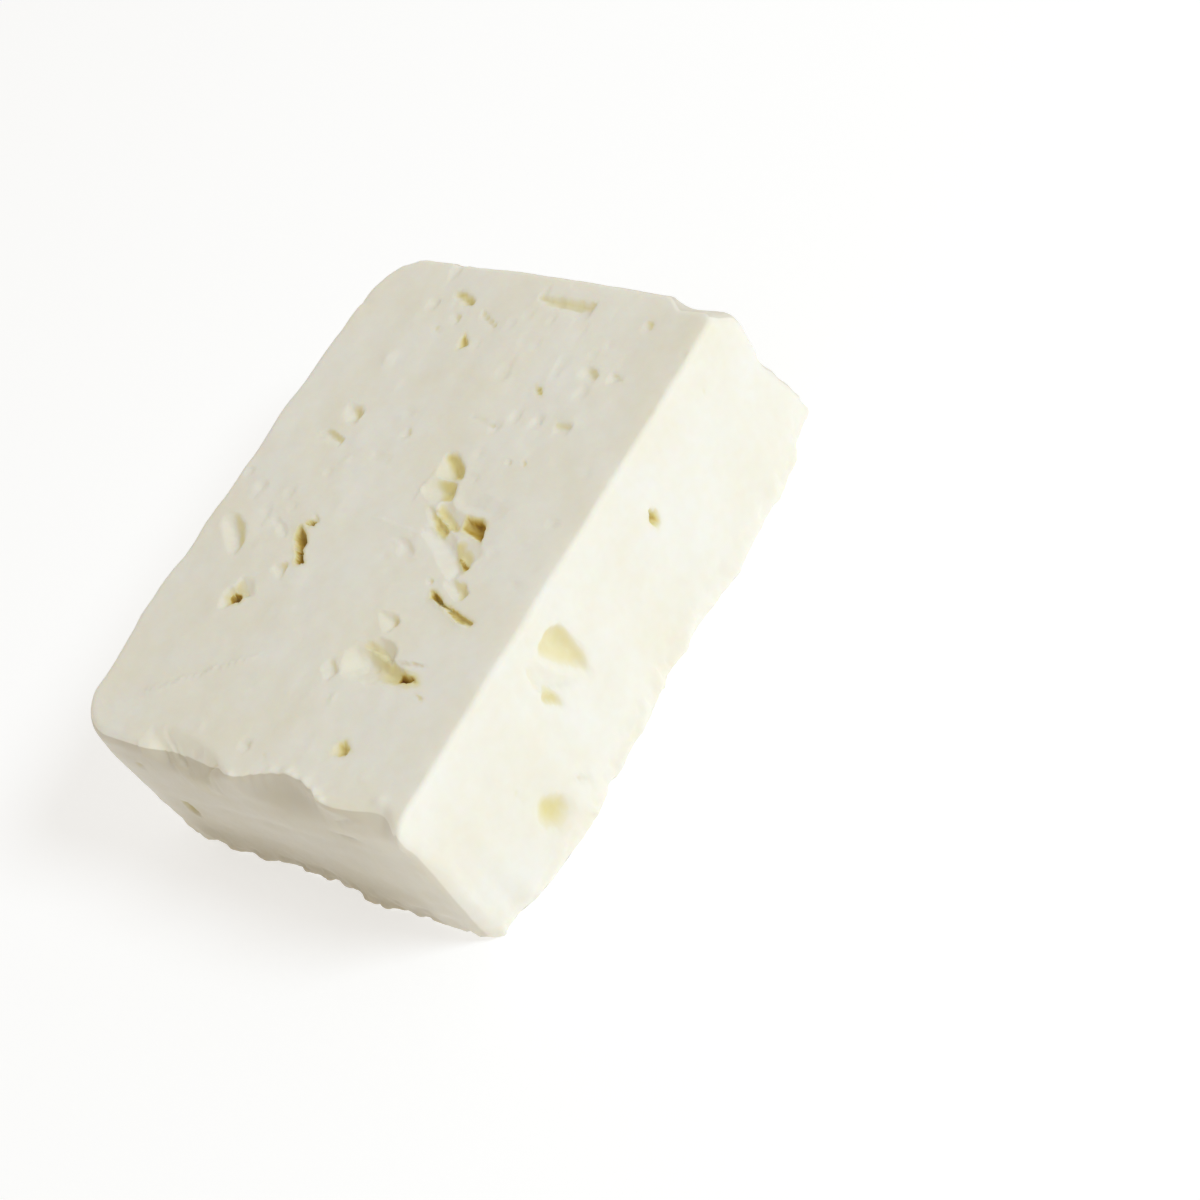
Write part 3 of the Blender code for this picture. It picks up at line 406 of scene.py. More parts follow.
FRONT_PITS = (
    # The broad shallow hole, its yellow lobe, the pinhole, the round one near the foot and a few nicks
    Pit(2.4, 25.0, 0.5, 1.0, (
        (-19.4, 26.4), (-16.8, 20.8), (-13.0, 15.4), (-11.2, 17.8), (-10.0, 22.0), (-9.6, 26.7),
        (-10.4, 29.6), (-13.0, 31.0), (-16.0, 31.2), (-18.8, 29.9)), stain_and_shade=0.19, fill=0.4, soft=0.16),
    Pit(1.4, 170.0, 0.35, 1.2, (
        (-22.8, 26.0), (-22.0, 23.0), (-20.0, 20.4), (-18.0, 19.2), (-15.0, 18.8), (-18.6, 29.6),
        (-21.0, 30.4), (-22.6, 28.8)), stain_and_shade=0.05),
    Pit(1.8, 190.0, 0.8, 1.4, (
        (-23.8, 22.0), (-22.2, 19.6), (-20.6, 17.8), (-19.6, 20.0), (-19.6, 22.4), (-20.8, 24.2),
        (-22.4, 24.8), (-23.6, 23.8)), stain_and_shade=0.21, fill=0.8, soft=0.2),
    Pit(3.6, 0.0, 2.6, 3.6, (
        (16.7, 23.0), (17.4, 21.6), (18.8, 22.0), (19.2, 23.8), (18.2, 25.2), (17.0, 24.6)), stain_and_shade=0.45),
    Pit(1.9, 60.0, 0.5, 0.7, (
        (-41.4, 9.0), (-40.2, 5.8), (-37.6, 4.4), (-34.2, 5.2), (-32.6, 7.8), (-33.8, 10.6),
        (-36.2, 13.2), (-39.4, 12.9), (-40.8, 11.8)), stain_and_shade=0.25, fill=1.0, soft=0.2),
    Pit(1.3, 60.0, 0.7, 1.2, (
        (-31.0, 8.6), (-29.0, 6.0), (-27.4, 4.8), (-26.8, 6.4), (-29.6, 9.4)), stain_and_shade=0.05),
    Pit(0.7, 60.0, 0.4, 0.7, ((-40.8, 17.4), (-39.8, 14.4), (-38.4, 15.2), (-39.0, 18.2)), stain_and_shade=0.05),
    Pit(0.7, 0.0, 0.6, 1.0, ((42.6, 29.6), (43.8, 27.4), (44.4, 29.6)), stain_and_shade=0.1),
    Pit(0.7, 0.0, 0.6, 1.0, ((38.0, 19.4), (39.2, 17.6), (40.0, 19.6)), stain_and_shade=0.1),
    Pit(0.6, 0.0, 0.6, 1.0, ((-47.4, 28.0), (-46.4, 26.2), (-46.2, 28.2)), stain_and_shade=0.05),
    Pit(0.7, 0.0, 0.4, 0.8, ((-30.2, 28.0), (-28.9, 25.0), (-28.8, 27.8)), stain_and_shade=0.05),
)

END_PITS = (
    # Two crevices in the upright fold near the mould side, and two creases nearer the front
    Pit(0.6, 90.0, 0.5, 0.9, (
        (-28.6, 25.4), (-24.0, 24.9), (-19.4, 24.7), (-19.0, 25.6), (-23.4, 26.8),
        (-27.6, 26.8)), stain_and_shade=0.0),
    Pit(0.5, 90.0, 0.5, 0.9, ((-30.4, 33.4), (-25.0, 30.4), (-24.2, 31.4), (-29.4, 34.2)), stain_and_shade=0.0),
    Pit(1.3, 0.0, 0.6, 1.0, ((27.2, 30.4), (28.6, 28.6), (30.6, 29.4), (29.2, 30.8)), stain_and_shade=0.16),
    Pit(1.5, 0.0, 1.0, 1.6, (
        (23.8, 14.6), (25.6, 12.2), (27.6, 13.6), (27.4, 17.4), (24.8, 18.0)), stain_and_shade=0.2),
)

FLAKES = (
    # The torn lips of the cluster and of the narrow crack, the rim over the end, the knife's line
    # and the ledge above the cluster
    Flake((-7.6, -22.8), (-2.2, -10.4), 0.3, 1.2),
    Flake((-2.6, -11.0), (-1.0, 7.5), 0.3, 1.2),
    Flake((-20.0, -32.2), (-14.4, -17.6), 0.55, 0.9),
    Flake((-55.9, -11.0), (-59.4, -23.0), 0.4, 0.9),
    Flake((-33.5, 8.0), (-51.5, 37.0), 0.65, 1.8),
    Flake((13.0, -1.6), (3.6, -0.8), 0.25, 0.9),
)

# Low lumps on the top: place, reach across the top, and height
LUMPS = (
    (34.6, 28.0, 1.5, 0.5),
    (27.6, -25.4, 2.2, 0.4),
    (-39.6, -12.0, 0.8, 0.35),
    (28.8, 21.5, 1.6, 0.25),
    (9.2, 21.0, 1.2, 0.25),
    (-12.6, 28.4, 1.6, 0.25),
    (-60.2, 10.8, 0.9, 0.4),
    (-52.2, 13.4, 0.8, 0.2),
    (-5.8, -3.6, 1.6, -0.3),
    (16.8, -9.4, 1.0, -0.25),
    (-43.4, 8.2, 0.6, 0.25),
    (-56.0, -35.4, 1.5, 0.85),
    (-59.2, -22.8, 0.8, 0.5),
    (-56.2, -8.6, 0.9, 0.3),
    (-55.8, -12.4, 1.1, 0.6),
    (-56.1, -14.2, 0.6, 0.4),
    (-56.6, -16.9, 1.2, 0.6),
    (-58.2, -20.5, 1.3, 0.55),
    (-52.5, -28.8, 0.7, 0.3),
    (-60.2, -0.2, 1.1, 0.5),
)


@dataclass
class BlockForm:
    """The block without its holes: a rounded box, set askew, swollen and worn.

    Lengths are in millimetres. Corners are named by the signs of x and y. The four radii are for the
    ridged end, the far end, the front and the mould side. A profile holds pairs of a place and the value
    there. A fade or a rise holds the places where something starts and where it is full.
    """

    length: float = 120.0
    width: float = 88.0
    height: float = 36.0
    middle_y: float = 2.0
    footprint_middle: tuple[float, float] = (0.6, -1.1)
    step: float = 0.38
    plain_step: float = 0.8
    upright_step: float = 0.92
    fine_x: tuple[float, float] = (-36.0, 18.0)
    fine_y: tuple[float, float] = (-30.0, 30.0)
    edge_lines: tuple = (0.0, 0.12, 0.28, 0.48, 0.72, 1.0, 1.35, 1.75, 2.2, 2.7, 3.25, 3.85, 4.5)
    foot_stride: int = 4
    top_radius: tuple = (2.6, 1.6, 0.9, 2.2)
    foot_radius: tuple = (1.6, 1.8, 1.6, 2.2)
    end_round: tuple = (
        (-44.0, 0.5), (-41.0, 0.9), (-36.0, 1.9), (-31.0, 1.1), (-26.0, 0.6), (-22.0, 0.35),
        (-10.0, 0.35), (-5.0, 0.6), (-0.5, 0.5), (5.0, 1.5), (12.0, 2.2), (20.0, 2.3), (24.0, 1.0),
        (46.0, 1.0))
    plan_radius: dict = field(default_factory=lambda: {
        (-1, -1): 2.0, (1, -1): 3.0, (1, 1): 11.0, (-1, 1): 10.0})
    foot_shift: dict = field(default_factory=lambda: {
        (-1, -1): (-1.7, 0.4), (1, -1): (2.2, 0.2), (1, 1): (1.0, -0.6), (-1, 1): (-0.3, -2.4)})
    mould_side_swell: tuple = (
        (-60.0, -0.9), (-46.0, 0.2), (-27.0, 1.8), (-10.0, 0.6), (12.0, 0.5), (30.0, 0.0), (60.0, -1.2))
    mould_side_share: tuple = (0.55, 0.45)
    foot_swell: tuple = (
        (-60.0, 1.0), (-57.0, 3.7), (-54.0, 4.5), (-49.0, 6.4), (-38.0, 7.2), (-31.0, 8.0),
        (-26.0, 6.9), (-8.0, 6.6), (2.0, 6.2), (23.0, 7.6), (40.0, 6.3), (60.0, 1.8))
    foot_swell_across: float = 1.2
    foot_swell_curve: float = 1.15
    end_rim: tuple = (
        (-42.0, 0.4), (-38.0, 0.9), (-33.5, 1.0), (-29.3, 0.4), (-26.0, 0.2), (-22.4, 0.4), (-19.3, 2.1),
        (-16.0, 3.2), (-12.5, 3.6), (-10.0, 3.3), (-7.4, 2.5), (-5.0, 1.6), (-3.0, 0.7), (-0.3, 0.0),
        (5.0, 0.6), (14.0, 1.0), (20.0, 0.8), (26.0, 0.0), (46.0, 0.0))
    end_foot: tuple = ((-42.0, 0.0), (-8.0, 0.0), (-2.0, 0.6), (28.0, 0.6), (36.0, 0.3), (46.0, 0.0))
    end_fade: tuple = (44.0, 58.0)
    end_rim_fade: tuple = (27.0, 36.0)
    end_rim_curve: float = 1.4
    left_wave: tuple = ((0.0, 0.0), (15.0, -0.4), (27.0, -0.8), (36.0, -1.9))
    left_wear: float = 3.0
    left_wear_reach: float = 4.4
    left_wear_curve: float = 2.5
    left_fade: tuple = (52.0, 60.0)
    left_wave_fade: tuple = (36.0, 41.0)
    left_wear_fade: tuple = (33.0, 41.0)
    left_wear_rise: tuple = (24.0, 36.0)
    corner_wave: tuple = (
        (0.0, 0.4), (4.0, 1.1), (8.0, 0.8), (12.0, 0.0), (18.0, -1.4), (23.0, -0.2), (28.0, 0.5),
        (36.0, 0.0))
    corner_fade: tuple = (44.0, 58.0)
    corner_wave_fade: tuple = (22.0, 40.0)
    chip: float = 3.2
    chip_fade: tuple = (50.0, 59.0)
    chip_across: tuple = (29.0, 34.0)
    chip_rise: tuple = (30.0, 36.0)
    undulation: tuple = ((26.0, 0.55), (9.0, 0.22), (3.6, 0.10), (1.5, 0.035))
    foot_hold: float = 3.0
    ridge_pitch: float = 2.3
    ridge_run: float = 34.0
    ridge_tilt: float = 0.03
    ridge_relief: float = 0.18
    ridge_margin: float = 3.0
    ridge_blend: float = 1.0
    ridge_seed: int = 41
    crumble: tuple = ((4.2, 0.8), (1.6, 0.45))
    crumble_high: float = 9.0
    crumble_seed: int = 51
    dent_size: float = 2.9
    dent_seed: int = 71
    dent_patch: float = 13.0
    dent_patch_share: tuple = (0.4, 2.0)
    dent_patch_seed: int = 72
    dent_floor: float = 0.36
    dent_deep: float = 1.0
    dent_fade: tuple = (-26.0, 6.0)
    dent_rise: tuple = (33.0, 35.0)

    def lines(self, low: float, high: float, step: float, fine: tuple = ()) -> np.ndarray:
        """Places of the grid's lines: close together near both ends, and in a fine stretch.

        Args:
            low: The first line.
            high: The last line.
            step: The gap between lines away from the ends.
            fine: The two ends of the stretch with the form's own step, or nothing.

        Returns:
            The places in rising order.
        """
        near = np.array(self.edge_lines)
        stops = [low + near[-1], *fine, high - near[-1]]
        inner = []
        for row, (a, b) in enumerate(zip(stops, stops[1:])):
            gap = self.step if row == 1 else step
            inner.append(np.linspace(a, b, round((b - a) / gap) + 1)[:-1])
        return np.concatenate([low + near[:-1], *inner, high - near[::-1]])

    def grid(self) -> tuple[np.ndarray, list]:
        """The closed box as points and faces.

        Each face is a grid of numbers i, j, k on the three sets of lines, with wider cells in the foot.
        A point's number is one key made of the three, so the faces share the points of common edges.

        Returns:
            The points, and the faces as lists of point numbers that go round anticlockwise from outside.
        """
        xs = self.lines(-self.length / 2, self.length / 2, self.plain_step, self.fine_x)
        ys = self.lines(-self.width / 2, self.width / 2, self.plain_step, self.fine_y)
        zs = self.lines(0.0, self.height, self.upright_step)
        nx, ny, nz = len(xs), len(ys), len(zs)

        def quads(first: np.ndarray, second: np.ndarray, key: Callable) -> np.ndarray:
            """The cells of one face.

            Args:
                first: The numbers of the lines across.
                second: The numbers of the lines up.
                key: Turns two of those numbers into the point's own.

            Returns:
                Four point numbers for each cell.
            """
            a, b = np.meshgrid(first, second, indexing="ij")
            corners = [key(a[:-1, :-1], b[:-1, :-1]), key(a[1:, :-1], b[1:, :-1]),
                       key(a[1:, 1:], b[1:, 1:]), key(a[:-1, 1:], b[:-1, 1:])]
            return np.stack(corners, -1).reshape(-1, 4)

        def key_of(i: np.ndarray, j: np.ndarray, k: np.ndarray) -> np.ndarray:
            """One number for a point of the lattice."""
            return i + nx * (j + ny * k)

        across, deep, up = np.arange(nx), np.arange(ny), np.arange(nz)
        cells = np.concatenate([
            quads(across, deep, lambda a, b: key_of(a, b, nz - 1)),
            quads(across, up, lambda a, b: key_of(a, 0 * a, b)),
            quads(across[::-1], up, lambda a, b: key_of(a, 0 * a + ny - 1, b)),
            quads(deep[::-1], up, lambda a, b: key_of(0 * a, a, b)),
            quads(deep, up, lambda a, b: key_of(0 * a + nx - 1, a, b)),
        ])
        foot = [[key_of(i, j, 0) for i, j in loop] for loop in self.foot_cells(nx, ny)]
        every = np.concatenate([cells.ravel(), *foot])
        keys, number = np.unique(every, return_inverse=True)
        points = np.stack([xs[keys % nx], ys[keys // nx % ny], zs[keys // (nx * ny)]], 1)
        faces = number[:cells.size].reshape(-1, 4).tolist()
        ends = cells.size + np.cumsum([0] + [len(loop) for loop in foot])
        faces += [number[a:b].tolist() for a, b in zip(ends, ends[1:])]
        return points, faces

    def foot_cells(self, nx: int, ny: int) -> list:
        """The foot in coarse cells. A border cell also takes the sides' finer points.

        Args:
            nx: How many lines there are along the block.
            ny: How many there are across it.

        Returns:
            For each cell its points' line numbers, clockwise from above.
        """
        rows = sorted(set(range(0, nx, self.foot_stride)) | {nx - 1})
        columns = sorted(set(range(0, ny, self.foot_stride)) | {ny - 1})
        loops = []
        for i0, i1 in zip(rows, rows[1:]):
            for j0, j1 in zip(columns, columns[1:]):
                near = [(i, j0) for i in (range(i0, i1) if j0 == 0 else [i0])]
                right = [(i1, j) for j in (range(j0, j1) if i1 == nx - 1 else [j0])]
                far = [(i, j1) for i in (range(i1, i0, -1) if j1 == ny - 1 else [i1])]
                left = [(i0, j) for j in (range(j1, j0, -1) if i0 == 0 else [j1])]
                loops.append((near + right + far + left)[::-1])
        return loops

    def rounded(self, points: np.ndarray) -> np.ndarray:
        """The box with round upright corners, and with round rims at the top and the foot.

        A square corner becomes an arc by keeping each point's distance along the longer axis and making
        it the distance from the arc's centre. The rims do the same with the distances in from the side
        and down from the top.

        Args:
            points: Points on the box.

        Returns:
            The same points on the rounded box.
        """
        half = np.array([self.length, self.width]) / 2
        plan, z = points[:, :2], points[:, 2].copy()
        sign = np.where(plan < 0, -1, 1)
        radius = np.zeros((len(points), 1))
        for signs, value in self.plan_radius.items():
            radius[(sign == signs).all(1)] = value
        over = np.abs(plan) - (half - radius)
        corner = (over > 0).all(1)
        reach = np.hypot(*over.T)
        over *= np.where(corner, over.max(1) / np.where(reach > 0, reach, 1.0), 1.0)[:, None]
        moved = sign * (over + half - radius)
        gaps = half - np.abs(plan)
        inset = gaps.min(1)
        arc = np.where(corner, np.hypot(*over.T), 1.0)
        arc = np.where(arc > 0, arc, 1.0)
        by_end = gaps[:, 0] < gaps[:, 1]
        straight = np.stack([by_end, ~by_end], 1)
        out = sign * np.where(corner[:, None], over / arc[:, None], straight)
        left = along(self.end_round, points[:, 1] + self.middle_y)
        for radii, level, up in ((self.top_radius, self.height, 1.0), (self.foot_radius, 0.0, -1.0)):
            ends = np.where(out[:, 0] < 0, radii[0] * (left if up > 0 else 1.0), radii[1])
            rim = out[:, 0] ** 2 * ends + out[:, 1] ** 2 * np.where(out[:, 1] < 0, radii[2], radii[3])
            side = rim - inset
            down = rim - np.abs(level - points[:, 2])
            turned = (side > 0) & (down > 0)
            reach = np.where(turned, np.hypot(side, down), 1.0)
            share = np.where(turned, np.maximum(side, down) / reach, 1.0)
            moved -= out * np.where(turned, side * (1.0 - share), 0.0)[:, None]
            z = np.where(turned, level - up * (rim - down * share), z)
        return np.column_stack([moved[:, 0], moved[:, 1] + self.middle_y, z])

    def swollen(self, points: np.ndarray) -> np.ndarray:
        """The rounded box with its foot's corners shifted, its sides swollen and its rims worn.

        Args:
            points: Points on the rounded box.

        Returns:
            The points moved by smooth sums of the named offsets, which fade away from each feature.
        """
        x, y, z = points.T
        side_x = np.clip(x / (self.length / 2), -1, 1)
        side_y = np.clip((y - self.middle_y) / (self.width / 2), -1, 1)
        low = 1.0 - z / self.height
        moved = points.copy()
        for (sx, sy), shift in self.foot_shift.items():
            weight = low * (1 + sx * side_x) / 2 * (1 + sy * side_y) / 2
            moved[:, 0] += weight * shift[0]
            moved[:, 1] += weight * shift[1]
        least, more = self.mould_side_share
        moved[:, 1] += along(self.mould_side_swell, x) * smooth(side_y) * (least + more * z / self.height)
        bulge = np.maximum(low, 0.0) ** self.foot_swell_curve
        moved[:, 1] -= along(self.foot_swell, x) * smooth(-side_y * self.foot_swell_across) * bulge
        high = fade(z, self.end_rim_fade) ** self.end_rim_curve
        rim = along(self.end_rim, y) * high + along(self.end_foot, y) * low ** 2
        moved[:, 0] += rim * fade(-x, self.end_fade)
        left = fade(-x, self.left_fade)
        moved[:, 0] += along(self.left_wave, z) * left * fade(-y, self.left_wave_fade)
        worn = np.clip(1.0 - (x + self.length / 2) / self.left_wear_reach, 0.0, 1.0)
        worn = worn ** self.left_wear_curve * fade(-y, self.left_wear_fade) * fade(z, self.left_wear_rise)
        moved[:, 2] -= self.left_wear * worn
        far = fade(x, self.corner_fade)
        moved[:, 0] += along(self.corner_wave, z) * far * fade(-y, self.corner_wave_fade)
        chipped = fade(x, self.chip_fade) * fade(-y, self.chip_across) * fade(z, self.chip_rise)
        moved[:, 0] -= self.chip * chipped
        return moved

    def weathered(self, points: np.ndarray) -> np.ndarray:
        """Lumps everywhere, level ridges on both cut ends, crumbling along the foot and dents in the top.

        Args:
            points: Points on the swollen block.

        Returns:
            The points moved by lump fields. The ridges' field is stretched along the end.
        """
        x, y, z = points.T
        moved = points.copy()
        for row, (size, relief) in enumerate(self.undulation):
            for axis in range(3):
                hold = smooth(z / self.foot_hold) if axis == 2 else 1.0
                moved[:, axis] += relief * hold * lump_field(points, size, 10 * row + axis)
        level = z / self.ridge_pitch + self.ridge_tilt * y
        waves = np.stack([y / self.ridge_run, level, x / self.length], 1)
        ridges = self.ridge_relief * lump_field(waves, 1.0, self.ridge_seed)
        end = self.length / 2 - self.ridge_blend
        on_end = fade(np.abs(x), (end - self.ridge_margin, end))
        on_end *= smooth(z / self.ridge_margin) * smooth((self.height - z) / self.ridge_margin)
        moved[:, 0] += ridges * on_end * np.sign(x)
        foot = smooth((self.crumble_high - z) / self.crumble_high)
        for row, (size, relief) in enumerate(self.crumble):
            for axis in range(2):
                seed = self.crumble_seed + 10 * row + axis
                moved[:, axis] += relief * foot * lump_field(points, size, seed)
        dents = np.maximum(lump_field(points, self.dent_size, self.dent_seed) - self.dent_floor, 0.0)
        least, more = self.dent_patch_share
        dents *= smooth(least + more * lump_field(points, self.dent_patch, self.dent_patch_seed))
        moved[:, 2] -= self.dent_deep * dents * fade(x, self.dent_fade) * fade(z, self.dent_rise)
        return moved


@dataclass
class CurdHoles:
    """The holes between the curds: the ones that show, and seeded ones on the two hidden sides.

    A row of the hidden ones holds the face, their number, their reach along and up it, and the seed.
    """

    form: BlockForm
    hidden: tuple = (
        (Side.MOULD_SIDE, 9, 52.0, (6.0, 30.0), 20),
        (Side.FAR_END, 7, 34.0, (7.0, 29.0), 21))
    hidden_reaches: tuple = (1.0, 1.4, 2.2, 3.4)
    hidden_narrowest: float = 0.45
    hidden_depth: tuple = (0.5, 0.4)
    hidden_slopes: tuple = (0.6, 2.2)
    ragged: tuple = ((1.9, 0.30), (0.8, 0.12))
    ragged_seed: int = 61
    pull_reach: float = 0.7
    pull_power: float = 0.9
    pull_margin: float = 2.0
    pull_behind: float = 9.0
    sink_margin: float = 3.0
    sink_behind: float = 10.0
    sink_blend: float = 2.0
    lip_high: float = 0.10
    lip_fade: float = 0.45
    lip_full_at: float = 2.5
    flake_clear: float = 0.05
    floor_size: float = 1.4
    floor_relief: float = 0.12
    floor_seed: int = 63
    halo: float = 0.32
    halo_fade: float = 0.45
    pits: list = field(default_factory=list)

    def __post_init__(self) -> None:
        """Gathers the pits that are named and those that are drawn."""
        for table, side in ((TOP_PITS, Side.TOP), (FRONT_PITS, Side.FRONT), (END_PITS, Side.END)):
            self.pits += [replace(pit, side=side) for pit in table]
        for row in self.hidden:
            self.pits += self.scattered(*row)

    def on_side(self, side: Side) -> list:
        """The pits in one face."""
        return [pit for pit in self.pits if pit.side is side]

    def scattered(self, side: Side, count: int, run: float, rise: tuple, seed: int) -> list:
        """Torn pits placed by a seeded rule.

        Args:
            side: The face that they are in.
            count: How many there are.
            run: How far they spread to either side of the middle.
            rise: The lowest and highest place of their middles.
            seed: Starts the random draw.

        Returns:
            The pits, of five to seven corners each.
        """
        draw = np.random.default_rng(seed)
        pits = []
        for row in range(count):
            place = (row + draw.uniform(0.15, 0.85)) / count * 2 * run - run
            middle = np.array([place, draw.uniform(*rise)])
            reach = draw.choice(self.hidden_reaches)
            turns = np.sort(draw.uniform(0, 2 * np.pi, draw.integers(5, 8)))
            stretch = draw.uniform(self.hidden_narrowest, 1.0)
            tilt = draw.uniform(0, np.pi)
            ring = np.stack([np.cos(turns), stretch * np.sin(turns)], 1) * reach
            turned = ring @ np.array([[np.cos(tilt), np.sin(tilt)], [-np.sin(tilt), np.cos(tilt)]])
            rim = tuple(tuple(corner) for corner in middle + turned)
            by_reach, least = self.hidden_depth
            lean = draw.uniform(-180, 180)
            pits.append(Pit(by_reach * reach + least, lean, *self.hidden_slopes, rim, side))
        return pits

    def on_face(self, points: np.ndarray, side: Side) -> tuple[np.ndarray, np.ndarray]:
        """Points seen on a face, shifted along it by lump fields, so that rims come out ragged.

        Args:
            points: Places in space.
            side: The face.

        Returns:
            The places in the face's drawing axes, and how far behind the plain box's face they are.
        """
        first, second, inward, sign = side.value
        box = np.array([0.0, self.form.middle_y, self.form.height / 2])
        half = np.array([self.form.length, self.form.width, self.form.height]) / 2
        behind = half[inward] + sign * (points[:, inward] - box[inward])
        plane = points[:, [first, second]]
        for row, (size, reach) in enumerate(self.ragged):
            for column in range(2):
                plane[:, column] += reach * lump_field(points, size, self.ragged_seed + 10 * row + column)
        return plane, behind

    def drawn_to_rims(self, points: np.ndarray) -> np.ndarray:
        """Grid points near a rim slid towards it along the face, so that the rim is crisp.

        A point at a gap g from the rim, less than the reach r, keeps the share (g / r) ** power of g.

        Args:
            points: The block's points.

        Returns:
            The points, slid.
        """
        moved = points.copy()
        for side in Side:
            first, second = side.value[:2]
            for pit in self.on_side(side):
                rim = np.array(pit.rim)
                low, high = rim.min(0) - self.pull_margin, rim.max(0) + self.pull_margin
                rough = moved[:, [first, second]]
                chosen = np.flatnonzero(((rough > low) & (rough < high)).all(1))
                plane, behind = self.on_face(moved[chosen], side)
                gap, way = pit.nearest(plane)
                held = np.clip(np.abs(gap) / self.pull_reach, 0.0, 1.0) ** self.pull_power
                near = np.abs(behind) < self.pull_behind
                shift = way * np.where(near, 1.0 - held, 0.0)[:, None]
                moved[chosen, first] += shift[:, 0]
                moved[chosen, second] += shift[:, 1]
        return moved

    def sunk(self, points: np.ndarray) -> tuple[np.ndarray, np.ndarray]:
        """The surface with its pits sunk in and their lips raised.

        Args:
            points: The weathered block's points.

        Returns:
            The points moved along each face's inward direction, and for every point the holes' brown:
            dried whey with painted shade.
        """
        moved = points.copy()
        stain_and_shade_map = np.zeros(len(points))
        rough = 1.0 + self.floor_relief * lump_field(points, self.floor_size, self.floor_seed)
        for side in Side:
            inward, sign = side.value[2:]
            plane, behind = self.on_face(points, side)
            near = smooth((self.sink_behind - np.abs(behind)) / self.sink_blend)
            depth = np.zeros(len(points))
            lip = np.zeros(len(points))
            for pit in self.on_side(side):
                rim = np.array(pit.rim)
                low, high = rim.min(0) - self.sink_margin, rim.max(0) + self.sink_margin
                chosen = np.flatnonzero(((plane > low) & (plane < high)).all(1) & (near > 0))
                here = pit.depth(plane[chosen])
                depth[chosen] = np.maximum(depth[chosen], here)
                # The holes' brown, part dried whey and part painted shade of their deep and shaded walls
                stain_and_shade_map[chosen] = np.maximum(stain_and_shade_map[chosen], pit.tone(plane[chosen], here))
                gap, _ = pit.nearest(plane[chosen])
                away = np.maximum(-gap, 0.0)
                edge = np.exp(-away / self.lip_fade) * min(1.0, pit.deep / self.lip_full_at)
                lip[chosen] = np.maximum(lip[chosen], np.where(gap < 0, edge, 0.0))
                glow = self.halo * pit.stain_and_shade ** 2 * np.exp(-away / self.halo_fade)
                stain_and_shade_map[chosen] = np.maximum(stain_and_shade_map[chosen], glow)
            if side is Side.TOP:
                for flake in FLAKES:
                    lip += flake.height(plane) / self.lip_high * (depth < self.flake_clear)
                for x, y, reach, high in LUMPS:
                    lip += high / self.lip_high * np.exp(-((plane - (x, y)) ** 2).sum(1) / reach ** 2)
            depth *= near * rough
            moved[:, inward] += sign * (depth - self.lip_high * lip * near * (depth <= 0.0))
        return moved, stain_and_shade_map


def linear(hex_colour: str) -> tuple[float, float, float, float]:
    """Linear red, green, blue and alpha of an sRGB colour.

    Args:
        hex_colour: Six hex digits, with or without a leading mark.

    Returns:
        Four numbers from 0 to 1.
    """
    digits = hex_colour.lstrip("#")
    shares = [int(digits[at:at + 2], 16) / 255 for at in (0, 2, 4)]
    return tuple(c / 12.92 if c <= 0.04045 else ((c + 0.055) / 1.055) ** 2.4 for c in shares) + (1.0,)


def add_node(tree: bpy.types.NodeTree, kind: str, settings: dict | None = None,
             inputs: dict | None = None) -> bpy.types.Node:
    """Adds one node, sets it up and links it.

    Args:
        tree: The material's node tree.
        kind: Blender's name of the node type.
        settings: The node's own properties by name.
        inputs: Its inputs by name or number, each a value or another node's output to link.

    Returns:
        The new node.
    """
    node = tree.nodes.new(kind)
    for name, value in (settings or {}).items():
        setattr(node, name, value)
    for name, value in (inputs or {}).items():
        if isinstance(value, bpy.types.NodeSocket):
            tree.links.new(value, node.inputs[name])
        else:
            node.inputs[name].default_value = value
    return node


